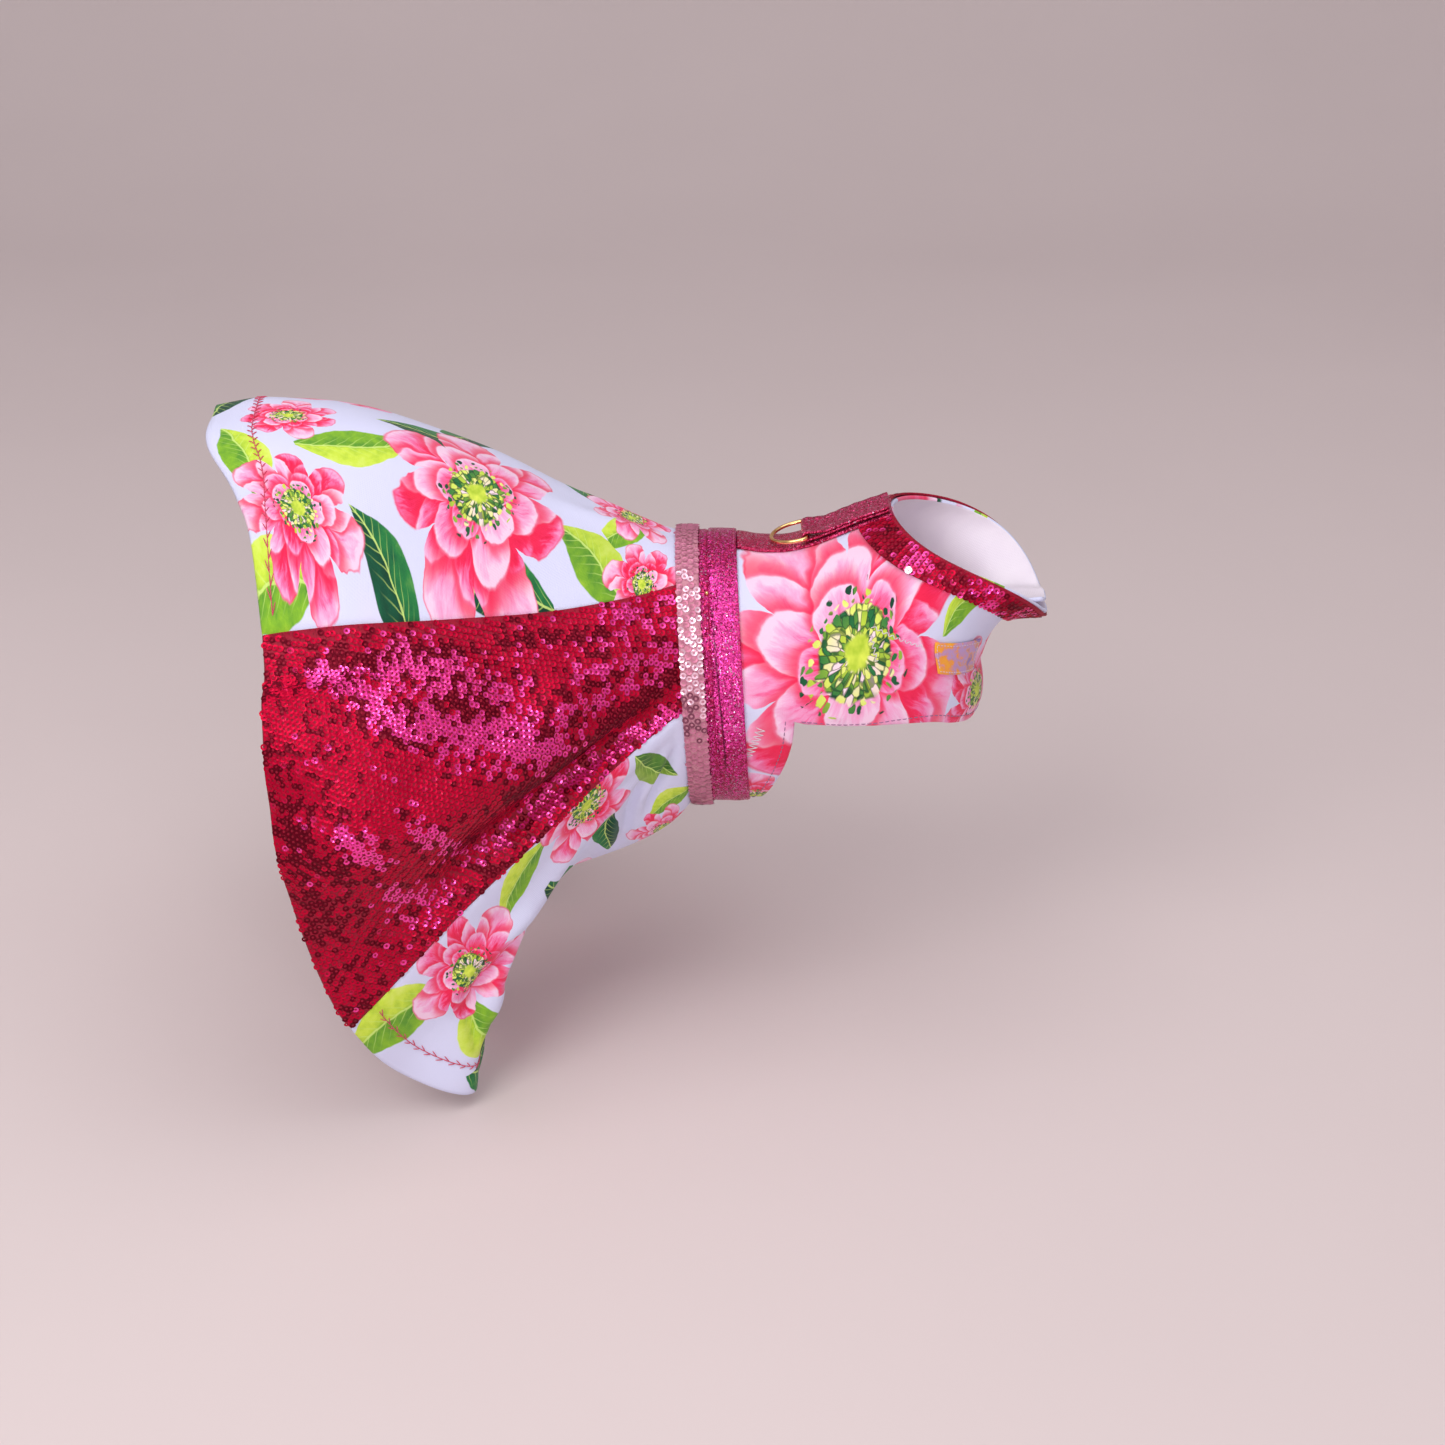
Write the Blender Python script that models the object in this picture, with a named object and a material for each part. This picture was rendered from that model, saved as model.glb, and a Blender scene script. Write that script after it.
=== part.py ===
"""A small pet's party dress in its worn shape: a print bodice with a sequin collar, a waistband with a
leash ring on the spine, and a flared skirt of print and sequin panels.

The wearer would face +X and stand upright along +Z. The origin is the point on the spine, inside the
waistband, where the dress sits on the wearer's back. Sizes are in metres.
"""

import math

import bpy
import numpy as np

# Driving sizes
WAIST_HALF_WIDTH = 0.0485
WAIST_HALF_HEIGHT = 0.0590
BAND_TILT_DEG = 3.2
BODICE_LENGTH = 0.0800
NECK_HALF_WIDTH = 0.0400
SKIRT_LENGTH = 0.2150
HEM_DEPTH = 0.0180
RIBBON_WIDTH = 0.0165
RIBBON_FRONT = 0.0138
TRIM_WIDTH = 0.0092
COLLAR_WIDTH = 0.0160
SPINE_RIBBON_WIDTH = 0.0180
LABEL_LENGTH = 0.0270
LABEL_HEIGHT = 0.0150

# Wall thicknesses and the clearance between neighbours
BODICE_WALL = 0.0020
SKIRT_WALL = 0.0012
HEM_EXTRA = 0.0008
RIBBON_WALL = 0.0014
TRIM_WALL = 0.0016
COLLAR_WALL = 0.0012
LABEL_WALL = 0.0010
STRAP_WALL = 0.0011
FASTENER_WALL = 0.0015
GAP = 0.0003
CLOSURE_GAP = 0.0008

# Leash ring and the strap that holds it
RING_INSIDE_WIDTH = 0.0198
RING_DEPTH = 0.0175
RING_WIRE = 0.0018
RING_STATION = 3.15

# Where pieces start and end, in degrees round the body from the spine, right side positive
STRAP_END_RIGHT = 183.0
STRAP_END_LEFT = -200.0
WING_END_RIGHT = 180.0
WING_END_LEFT = -210.0
ARMHOLE_ANGLE = 92.0
ARMHOLE_STATION = 1.5
SKIRT_END_RIGHT = 165.0
SKIRT_END_LEFT = -156.0
SEAM_TOP = 33.0
SEAM_SIDE = 88.5

# The label's place on the body
LABEL_STATION = 3.95
LABEL_ANGLE = 122.0
LABEL_TURN_DEG = 20.0

# Clearances and laps that aren't driving sizes
RIBBON_SIDE_CLEARANCE_DEG = 0.6
LEFT_COLLAR_SHORTER_DEG = 35.0
BAND_LAP_DEG = 5.0
BAND_END_SETBACK_DEG = 1.0
LEAST_COLUMN_DEG = 1.0
LEAST_COLLAR_COLUMN_DEG = 2.0
TUCK_SHARE = 0.6
FIRST_STATION = 0.06

# How far from an edge a surface's normal is read, and the two steps that it is read over
NORMAL_MARGIN = 0.02
NORMAL_STEP = 0.01
NORMAL_STEP_DEG = 0.5

# Mesh fineness
SKIRT_ROWS = 12
DEGREES_PER_COLUMN = 3.8
BODICE_COLUMN_DEG = 6.6
SHARP_EDGE_DEG = 40.0

# Cross-sections of the body that the bodice follows, each an oval between a point on the spine and a
# point on the belly or chest. Lengths are shares of BODICE_LENGTH forward, of WAIST_HALF_HEIGHT up,
# and of WAIST_HALF_WIDTH sideways. "ahead" is how far the oval's sides lean forward.
SECTION_COLUMNS = ("station", "spine_x", "spine_z", "chest_x", "chest_z", "half_width", "ahead")
SECTIONS = (
    (0.0, -0.20, 1.000, -0.12, -1.000, 1.000, 0.00),
    (1.0, 0.15, 1.000, 0.23, -1.000, 1.000, 0.00),
    (1.5, 0.25, 0.975, 0.62, -0.985, 1.060, 0.00),
    (2.0, 0.37, 0.970, 1.15, -0.820, 1.090, 0.00),
    (3.0, 0.52, 1.005, 1.48, -0.240, 1.050, 0.01),
    (4.0, 0.66, 1.075, 1.48, 0.150, 0.980, 0.03),
    (5.0, 0.81, 1.165, 1.60, 0.490, 0.900, 0.06),
    (6.0, 0.99, 1.255, 1.85, 0.530, 0.825, 0.09),
)

LAST_STATION = SECTIONS[-1][0]
NECK_STARTS_AT = 3.0

# Lower edge of the chest wing and front edge of the belly strap, as stations at angles round the body
EDGE_COLUMNS = ("angle", "station")
WING_EDGE = (
    (92.0, 1.50),
    (100.0, 2.08),
    (109.0, 2.41),
    (118.0, 2.60),
    (136.0, 2.77),
    (158.0, 2.86),
    (210.0, 2.95),
)
WING_CORNER_ANGLE = 171.0
WING_CORNER_LIFT = 0.30
STRAP_EDGE = (
    (92.0, 1.50),
    (104.0, 1.42),
    (115.0, 1.33),
    (135.0, 1.18),
    (160.0, 1.06),
    (205.0, 1.05),
)

# Folds of the skirt, from the spine down the side to the open edge under the belly. Each row is one line
# from waist to hem: its angle at the waist, then two points that bend it and its hem point, as shares of
# SKIRT_LENGTH backward, outward and up from the centre of the waist.
FOLD_COLUMNS = (
    "angle", "bend1_back", "bend1_out", "bend1_up", "bend2_back", "bend2_out", "bend2_up",
    "hem_back", "hem_out", "hem_up",
)
FOLDS = (
    (0.0, 0.320, 0.000, 0.350, 0.640, 0.000, 0.650, 1.000, 0.000, 0.556),
    (11.0, 0.320, 0.075, 0.345, 0.640, 0.100, 0.630, 0.995, 0.110, 0.530),
    (22.0, 0.340, 0.170, 0.300, 0.640, 0.260, 0.520, 0.925, 0.230, 0.470),
    (28.0, 0.370, 0.220, 0.245, 0.620, 0.370, 0.410, 0.880, 0.355, 0.430),
    (33.0, 0.360, 0.260, 0.195, 0.600, 0.460, 0.325, 0.846, 0.500, 0.295),
    (45.0, 0.350, 0.350, 0.130, 0.600, 0.590, 0.220, 0.842, 0.585, 0.180),
    (60.0, 0.340, 0.420, 0.050, 0.600, 0.690, 0.060, 0.838, 0.615, -0.010),
    (72.0, 0.320, 0.420, -0.030, 0.590, 0.690, -0.090, 0.815, 0.615, -0.190),
    (81.0, 0.290, 0.325, -0.090, 0.560, 0.540, -0.230, 0.765, 0.582, -0.415),
    (88.5, 0.290, 0.345, -0.120, 0.530, 0.550, -0.340, 0.720, 0.550, -0.545),
    (96.0, 0.295, 0.315, -0.160, 0.500, 0.490, -0.450, 0.635, 0.508, -0.675),
    (104.0, 0.285, 0.290, -0.200, 0.455, 0.440, -0.520, 0.500, 0.470, -0.750),
    (110.0, 0.290, 0.250, -0.240, 0.465, 0.350, -0.500, 0.490, 0.400, -0.745),
    (116.0, 0.290, 0.235, -0.270, 0.430, 0.320, -0.480, 0.475, 0.350, -0.700),
    (131.0, 0.210, 0.185, -0.385, 0.480, 0.205, -0.400, 0.580, 0.225, -0.670),
    (148.0, 0.170, 0.125, -0.450, 0.500, 0.150, -0.370, 0.700, 0.190, -0.610),
    (165.0, 0.160, 0.075, -0.440, 0.520, 0.110, -0.370, 0.820, 0.190, -0.560),
)

COLOURS = {
    "print_cotton": (0.86, 0.60, 0.74, 1.0),
    "sequin_mesh": (0.62, 0.02, 0.16, 1.0),
    "glitter_ribbon": (0.66, 0.05, 0.25, 1.0),
    "pink_sequin_trim": (0.85, 0.50, 0.52, 1.0),
    "gold_metal": (0.88, 0.66, 0.30, 1.0),
    "woven_label": (0.72, 0.52, 0.62, 1.0),
    "hook_tape": (0.85, 0.83, 0.86, 1.0),
}
CLOTH_ROUGHNESS = 0.8
SHINY_ROUGHNESS = {"gold_metal": 0.2, "sequin_mesh": 0.3, "glitter_ribbon": 0.35, "pink_sequin_trim": 0.3}


# Interpolation


def through(knots, values, at):
    """A smooth curve through the values at the knots, read at each place in at."""
    knots = np.asarray(knots, float)
    values = np.asarray(values, float)
    at = np.clip(np.asarray(at, float), knots[0], knots[-1])
    slopes = np.gradient(values, knots, axis=0)
    i = np.clip(np.searchsorted(knots, at, side="right") - 1, 0, len(knots) - 2)
    step = knots[i + 1] - knots[i]
    s = (at - knots[i]) / step
    a, b = values[i], values[i + 1]
    return (
        (2 * s**3 - 3 * s**2 + 1) * a
        + (s**3 - 2 * s**2 + s) * step * slopes[i]
        + (3 * s**2 - 2 * s**3) * b
        + (s**3 - s**2) * step * slopes[i + 1]
    )


def column(table, names, name):
    return [row[names.index(name)] for row in table]


def ramp(x, start, end):
    """0 before start, 1 after end, smooth between."""
    s = np.clip((np.asarray(x, float) - start) / (end - start), 0.0, 1.0)
    return s * s * (3 - 2 * s)


# The body that the bodice follows


def section(name, station):
    stations = column(SECTIONS, SECTION_COLUMNS, "station")
    return through(stations, column(SECTIONS, SECTION_COLUMNS, name), station)


def body_surface(station, angle):
    """A point on the wearer's body, measured from the centre of the waist."""
    theta = np.radians(angle)
    spine_x = section("spine_x", station) * BODICE_LENGTH
    chest_x = section("chest_x", station) * BODICE_LENGTH
    spine_z = section("spine_z", station) * WAIST_HALF_HEIGHT
    chest_z = section("chest_z", station) * WAIST_HALF_HEIGHT
    neck_share = ramp(station, NECK_STARTS_AT, LAST_STATION)
    width_share = section("half_width", station)
    neck_width = width_share / column(SECTIONS, SECTION_COLUMNS, "half_width")[-1] * NECK_HALF_WIDTH
    half_width = width_share * WAIST_HALF_WIDTH * (1 - neck_share) + neck_width * neck_share
    lean = section("ahead", station) * BODICE_LENGTH * np.sin(theta) ** 2 * (1 - np.cos(theta))
    drop_x, drop_z = chest_x - spine_x, chest_z - spine_z
    drop = np.hypot(drop_x, drop_z)
    share = (1 - np.cos(theta)) / 2
    x = spine_x + drop_x * share - drop_z / drop * lean
    z = spine_z + drop_z * share + drop_x / drop * lean
    return np.stack([x, -half_width * np.sin(theta), z], axis=-1)


def outward(surface, u, v, du, dv):
    """Unit normals of surface(u, v), by differences."""
    along_u = surface(u + du, v) - surface(u - du, v)
    along_v = surface(u, v + dv) - surface(u, v - dv)
    normal = np.cross(along_v, along_u)
    return normal / np.linalg.norm(normal, axis=-1, keepdims=True)


def on_body(station, angle, offset):
    """A point that far outside the body."""
    station, angle = np.broadcast_arrays(np.asarray(station, float), np.asarray(angle, float))
    inside = np.clip(station, NORMAL_MARGIN, LAST_STATION - NORMAL_MARGIN)
    normal = outward(body_surface, inside, angle, NORMAL_STEP, NORMAL_STEP_DEG)
    return body_surface(station, angle) + normal * np.asarray(offset, float)[..., None]


# Where one end of the bodice closes over the other


def strap_dip(angle):
    """How far the left end of the belly strap goes in under the right end."""
    return -(BODICE_WALL + FASTENER_WALL + 2 * CLOSURE_GAP) * ramp(-angle, 161.0, 176.0)


def wing_dip(angle):
    return -(BODICE_WALL + FASTENER_WALL + 2 * CLOSURE_GAP) * ramp(-angle, 158.0, 176.0)


# Building meshes


def sheet(name, material, outer, inner, faces):
    """A closed solid between two like sets of points, joined round the faces' open edges."""
    outer, inner = np.asarray(outer).reshape(-1, 3), np.asarray(inner).reshape(-1, 3)
    count = len(outer)
    edges = {}
    for face in faces:
        for a, b in zip(face, face[1:] + face[:1]):
            edges[(a, b)] = (b, a) not in edges
            if (b, a) in edges:
                edges[(b, a)] = False
    rim = [(b, a, a + count, b + count) for (a, b), open_edge in edges.items() if open_edge]
    under = [tuple(i + count for i in reversed(face)) for face in faces]
    return solid(name, material, np.concatenate([outer, inner]), [tuple(f) for f in faces] + under + rim)


def solid(name, material, points, faces):
    mesh = bpy.data.meshes.new(name)
    mesh.from_pydata([tuple(map(float, p)) for p in points], [], faces)
    mesh.update()
    mesh.shade_smooth()
    mesh.set_sharp_from_angle(angle=math.radians(SHARP_EDGE_DEG))
    obj = bpy.data.objects.new(name, mesh)
    obj.data.materials.append(bpy.data.materials[material])
    obj.parent = bpy.data.objects["waist_centre"]
    bpy.context.scene.collection.objects.link(obj)
    return obj


def grid_faces(rows, columns, start=0):
    """Quads of a grid stored row by row. They face out where rows run forward and angles grow along a row."""
    quads = []
    for row in range(rows - 1):
        for place in range(columns - 1):
            first = start + row * columns + place
            above = first + columns
            quads.append((first, first + 1, above + 1, above))
    return quads


# Bodice


def edge_station(table, angle):
    angles = column(table, EDGE_COLUMNS, "angle")
    return through(angles, column(table, EDGE_COLUMNS, "station"), np.abs(angle))


def wing_edge_station(angle):
    """Lower edge of the chest wing, with the right wing's end rounded."""
    from_corner = (np.asarray(angle) - WING_CORNER_ANGLE) / (WING_END_RIGHT - WING_CORNER_ANGLE)
    corner = np.clip(from_corner, 0.0, 1.0)
    return edge_station(WING_EDGE, angle) + WING_CORNER_LIFT * (1 - np.sqrt(1 - corner**2 * 0.98))


def strap_edge_station(angle):
    return edge_station(STRAP_EDGE, angle)


def bodice_columns(end_right, end_left):
    """Angles of the bodice's columns, from the left end round the spine to the right end."""
    back = np.linspace(-ARMHOLE_ANGLE, ARMHOLE_ANGLE, 2 * round(ARMHOLE_ANGLE / BODICE_COLUMN_DEG) + 1)
    tails = round((abs(STRAP_END_LEFT) - ARMHOLE_ANGLE) / BODICE_COLUMN_DEG)
    left = np.linspace(end_left, -ARMHOLE_ANGLE, tails + 1)[:-1]
    right = np.linspace(ARMHOLE_ANGLE, end_right, tails + 1)[1:]
    return np.concatenate([left, back, right]), tails


def bodice_part(columns, shares, start, end, dip):
    """Grid of stations, angles and dips between two edges."""
    angle = np.broadcast_to(columns, (len(shares), len(columns)))
    station = start + (end - start) * np.asarray(shares)[:, None]
    return station, angle, dip(angle)


def make_bodice():
    """One lined sheet: the saddle over the back, the two chest wings and the two ends of the belly strap."""
    strap_columns, tails = bodice_columns(STRAP_END_RIGHT, STRAP_END_LEFT)
    wing_columns, _ = bodice_columns(WING_END_RIGHT, WING_END_LEFT)
    strap_shares = np.linspace(0, 1, 4)
    wing_shares = np.linspace(0, 1, 11)
    over_back = np.abs(strap_columns) < ARMHOLE_ANGLE
    split_strap = np.where(over_back, ARMHOLE_STATION, strap_edge_station(strap_columns))
    split_wing = np.where(over_back, ARMHOLE_STATION, wing_edge_station(wing_columns))
    strap = bodice_part(strap_columns, strap_shares, FIRST_STATION, split_strap, strap_dip)
    wing = bodice_part(wing_columns, wing_shares, split_wing, LAST_STATION, wing_dip)
    count = len(strap_columns)
    points = [
        np.concatenate([on_body(s, a, dip + wall).reshape(-1, 3) for s, a, dip in (strap, wing)])
        for wall in (BODICE_WALL, 0.0)
    ]
    wing_start = len(strap_shares) * count
    faces = grid_faces(len(strap_shares), count) + grid_faces(len(wing_shares), count, wing_start)
    # Over the back the wing's first row is the strap's last row
    joined_from = (len(strap_shares) - 1) * count
    shared = {joined_from + count + c: joined_from + c for c in range(tails, count - tails)}
    faces = [tuple(shared.get(i, i) for i in face) for face in faces]
    return sheet_without_spares("bodice", "print_cotton", points[0], points[1], faces)


def sheet_without_spares(name, material, outer, inner, faces):
    used = sorted({i for face in faces for i in face})
    place = {old: new for new, old in enumerate(used)}
    return sheet(name, material, outer[used], inner[used], [tuple(place[i] for i in face) for face in faces])


# Bands round the waist


def band_x(z):
    """How far forward the tilted waistband lies at a height."""
    return -math.tan(math.radians(BAND_TILT_DEG)) * z


def waist_point(forward, angle, offset):
    """A point round the waist, that far forward along the wearer and outside the body."""
    theta = np.radians(angle)
    y, z = -np.sin(theta) * WAIST_HALF_WIDTH, np.cos(theta) * WAIST_HALF_HEIGHT
    normal = np.stack([-np.sin(theta) * WAIST_HALF_HEIGHT, np.cos(theta) * WAIST_HALF_WIDTH], axis=-1)
    normal = normal / np.linalg.norm(normal, axis=-1, keepdims=True)
    y, z = y + normal[..., 0] * offset, z + normal[..., 1] * offset
    return np.stack([forward + band_x(z), y, z], axis=-1)


def band_columns():
    """The bands' columns, at the bodice's own angles so that the layers run parallel."""
    bodice, _ = bodice_columns(STRAP_END_RIGHT, STRAP_END_LEFT)
    start, end = SKIRT_END_LEFT - BAND_LAP_DEG, STRAP_END_RIGHT - BAND_END_SETBACK_DEG
    between = bodice[(bodice > start + LEAST_COLUMN_DEG) & (bodice < end - LEAST_COLUMN_DEG)]
    return np.concatenate([[start], between, [end]])


def under_ribbon():
    return BODICE_WALL + GAP + SKIRT_WALL + GAP


def make_waist_ribbon():
    """The glitter ribbon, with a lengthwise crease that fades under the belly."""
    across = np.array([0.0, 0.22, 0.28, 0.34, 0.7, 1.0])
    relief = np.array([-0.15, 0.10, -0.30, 0.20, 0.15, -0.15]) * RIBBON_WALL
    angles = band_columns()
    forward, angle = np.meshgrid(RIBBON_FRONT - RIBBON_WIDTH * (1 - across), angles, indexing="ij")
    crease = relief[:, None] * (1 - ramp(np.abs(angle), 105.0, 140.0))
    base = BODICE_WALL + GAP
    outer = waist_point(forward, angle, base + RIBBON_WALL + crease)
    inner = waist_point(forward, angle, base)
    return sheet("waist_ribbon", "glitter_ribbon", outer, inner, grid_faces(len(across), len(angles)))


def trim_front():
    return RIBBON_FRONT - RIBBON_WIDTH - GAP


def make_waist_trim():
    """The braid of pink sequins that covers the skirt's waist seam."""
    angles = band_columns()
    across = np.array([0.0, 0.3, 0.7, 1.0])
    crown = np.array([0.0, 0.25, 0.25, 0.0]) * TRIM_WALL
    forward, angle = np.meshgrid(trim_front() - TRIM_WIDTH * (1 - across), angles, indexing="ij")
    base = under_ribbon()
    outer = waist_point(forward, angle, base + TRIM_WALL + crown[:, None])
    inner = waist_point(forward, angle, base)
    return sheet("waist_trim", "pink_sequin_trim", outer, inner, grid_faces(len(across), len(angles)))


# Skirt


def fold_points(angle):
    """The three points that shape the skirt's line at each angle, which bends like a Bezier curve."""
    size = np.abs(angle)
    side = -np.sign(angle)
    knots = column(FOLDS, FOLD_COLUMNS, "angle")
    # The rows are mirrored about the spine, so that the ridge there is smooth
    knots_both = [-k for k in reversed(knots[1:])] + list(knots)
    points = []
    for name in ("bend1", "bend2", "hem"):
        read = {}
        for axis in ("back", "out", "up"):
            values = column(FOLDS, FOLD_COLUMNS, f"{name}_{axis}")
            mirror = -1.0 if axis == "out" else 1.0
            both = [mirror * v for v in reversed(values[1:])] + list(values)
            read[axis] = through(knots_both, both, size) * SKIRT_LENGTH
        points.append(np.stack([-read["back"], side * read["out"], read["up"]], axis=-1))
    return points


def skirt_surface(share, angle):
    """A point of the skirt's middle layer: share 0 is where it leaves the trim and 1 is the hem."""
    share, angle = np.broadcast_arrays(np.asarray(share, float), np.asarray(angle, float))
    rise = BODICE_WALL + GAP + SKIRT_WALL / 2
    waist = waist_point(trim_front() - TRIM_WIDTH, angle, rise)
    bend1, bend2, hem = fold_points(angle)
    s = share[..., None]
    return (1 - s) ** 3 * waist + 3 * s * (1 - s) ** 2 * bend1 + 3 * s**2 * (1 - s) * bend2 + s**3 * hem


def on_skirt(share, angle, offset):
    """A point that far outside the skirt's middle layer. A share below 0 is tucked under the trim."""
    share, angle = np.broadcast_arrays(np.asarray(share, float), np.asarray(angle, float))
    inside = np.clip(share, NORMAL_MARGIN, 1 - NORMAL_MARGIN)
    normal = -outward(skirt_surface, inside, angle, NORMAL_STEP, NORMAL_STEP_DEG)
    flared = skirt_surface(np.clip(share, 0.0, 1.0), angle) + normal * offset[..., None]
    forward = trim_front() - TRIM_WIDTH - np.minimum(share, 0.0) * SKIRT_LENGTH
    rise = BODICE_WALL + GAP + SKIRT_WALL / 2
    tucked = waist_point(forward, angle, rise + offset)
    return np.where((share <= 0.0)[..., None], tucked, flared)


def make_skirt_panel(name, material, start, end):
    """One panel between two seams, tucked under the trim, with its hem turned in."""
    tuck = -TUCK_SHARE * TRIM_WIDTH / SKIRT_LENGTH
    hem_start = 1 - HEM_DEPTH / SKIRT_LENGTH
    step = GAP / SKIRT_LENGTH
    body_rows = np.linspace(0.03, hem_start, SKIRT_ROWS - 3)
    shares = np.concatenate([[tuck, 0.0], body_rows, [hem_start + step, (hem_start + 1) / 2, 1.0]])
    angles = np.linspace(start, end, max(2, round((end - start) / DEGREES_PER_COLUMN)) + 1)
    share, angle = np.meshgrid(shares, angles, indexing="ij")
    in_hem = share > hem_start + step / 2
    outer = on_skirt(share, angle, np.full(share.shape, SKIRT_WALL / 2))
    inner = on_skirt(share, angle, -SKIRT_WALL / 2 - HEM_EXTRA * in_hem)
    for points in (outer, inner):
        for side, neighbour in ((0, 1), (-1, -2)):
            inward = points[:, neighbour] - points[:, side]
            points[:, side] += inward / np.linalg.norm(inward, axis=-1, keepdims=True) * GAP / 2
    # Rows run backward here, so the faces are turned round
    faces = [tuple(reversed(face)) for face in grid_faces(len(shares), len(angles))]
    return sheet(name, material, outer, inner, faces)


# Trimmings


def make_collar(name, start, end):
    """Half of the sequin collar, sewn along the neck edge from the spine ribbon to the throat."""
    bodice, _ = bodice_columns(WING_END_RIGHT, WING_END_LEFT)
    low, high = min(start, end), max(start, end)
    between = bodice[(bodice > low + LEAST_COLLAR_COLUMN_DEG) & (bodice < high - LEAST_COLLAR_COLUMN_DEG)]
    columns = np.concatenate([[low], between, [high]])
    edge = on_body(5.99, columns, 0.0 * columns)
    inner_edge = on_body(4.99, columns, 0.0 * columns)
    reach = COLLAR_WIDTH / np.linalg.norm(edge - inner_edge, axis=-1)
    share, angle = np.meshgrid(np.linspace(-1, 0, 4), columns, indexing="ij")
    station = 6.0 + share * reach
    base = np.full(angle.shape, BODICE_WALL + GAP)
    outer, inner = on_body(station, angle, base + COLLAR_WALL), on_body(station, angle, base)
    return sheet(name, "sequin_mesh", outer, inner, grid_faces(4, len(columns)))


def spine_half_angle(station, width):
    """Angle that a strip of this width takes at a station."""
    side = body_surface(np.asarray(station, float), np.asarray(90.0))
    return math.degrees(math.asin(width / 2 / abs(float(side[1]))))


def ribbon_start_station():
    """Station on the spine just ahead of the waist ribbon."""
    stations = np.linspace(0.5, 2.0, 151)
    ahead = body_surface(stations, 0.0)[:, 0] - (RIBBON_FRONT + band_x(WAIST_HALF_HEIGHT)) - GAP
    return float(stations[np.argmax(ahead > 0)])


def make_spine_ribbon():
    stations = np.linspace(ribbon_start_station(), LAST_STATION, 14)
    half = np.array([spine_half_angle(s, SPINE_RIBBON_WIDTH) for s in stations])
    share = np.linspace(-1, 1, 5)
    station = np.repeat(stations[:, None], 5, axis=1)
    angle = half[:, None] * share[None, :]
    base = np.full(station.shape, BODICE_WALL + GAP)
    outer, inner = on_body(station, angle, base + RIBBON_WALL), on_body(station, angle, base)
    return sheet("spine_ribbon", "glitter_ribbon", outer, inner, grid_faces(14, 5))


def strap_floor():
    """Height over the body of the ring strap's underside."""
    return BODICE_WALL + GAP + RIBBON_WALL + GAP


def ring_bar():
    """Centre of the leash ring's straight bar."""
    rise = strap_floor() + STRAP_WALL + GAP + RING_WIRE / 2
    return on_body(RING_STATION, 0.0, np.asarray(rise))


def make_ring_strap():
    """A ribbon folded round the leash ring's bar, both layers running forward to the nape."""
    stations = np.linspace(LAST_STATION, RING_STATION, 12)
    low = strap_floor() + STRAP_WALL / 2
    high = low + STRAP_WALL + GAP
    turn = RING_WIRE / 2 + GAP + STRAP_WALL / 2
    bottom = on_body(stations, 0.0, np.full(12, low))
    top_rise = high + (low + 2 * turn - high) * ramp(stations, RING_STATION + 0.9, RING_STATION)
    top = on_body(stations[::-1], 0.0, top_rise[::-1])
    centre = ring_bar()
    down = bottom[-1] - centre
    down = down / np.linalg.norm(down)
    back = np.array([-down[2], 0.0, down[0]])
    back = back if back[0] < 0 else -back
    turns = np.linspace(0, math.pi, 8)[1:-1]
    bend = [centre + turn * (math.cos(a) * down + math.sin(a) * back) for a in turns]
    path = np.concatenate([bottom, bend, top])
    ahead = np.gradient(path, axis=0)
    side = np.stack([ahead[:, 2], 0 * ahead[:, 0], -ahead[:, 0]], axis=-1)
    side = side / np.linalg.norm(side, axis=-1, keepdims=True) * STRAP_WALL / 2
    half = np.array([0.0, SPINE_RIBBON_WIDTH / 2 - GAP, 0.0])
    outer = np.stack([path + side - half, path + side + half], axis=1)
    inner = np.stack([path - side - half, path - side + half], axis=1)
    faces = grid_faces(len(path), 2)
    return sheet("ring_strap", "glitter_ribbon", outer, inner, faces)


def make_leash_ring():
    """A D-shaped ring of round wire, its bar in the strap's fold and its bow lying back along the spine."""
    bar = ring_bar()
    stations = np.linspace(0.8, RING_STATION, 200)
    rise = BODICE_WALL + GAP + RIBBON_WALL + GAP + RING_WIRE / 2
    line = on_body(stations, 0.0, np.full(200, rise))
    reach = RING_DEPTH - RING_WIRE
    rear = line[np.argmin(np.abs(np.linalg.norm(line - bar, axis=1) - reach))]
    back = (rear - bar) / np.linalg.norm(rear - bar)
    half = (RING_INSIDE_WIDTH + RING_WIRE) / 2
    corner = RING_WIRE * 1.4
    turns = np.linspace(0, math.pi, 17)
    outline = [(math.cos(a) * half, corner + (reach - corner) * math.sin(a) ** 0.9) for a in turns]
    outline += [(-half + corner * 0.3, corner * 0.3), (-half + corner, 0.0), (0.0, 0.0), (half - corner, 0.0)]
    outline += [(half - corner * 0.3, corner * 0.3)]
    path = np.array([bar + np.array([0.0, y, 0.0]) + back * s for y, s in outline])
    return ring_of_wire("leash_ring", "gold_metal", path, RING_WIRE / 2, np.cross(back, [0.0, 1.0, 0.0]))


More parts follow.
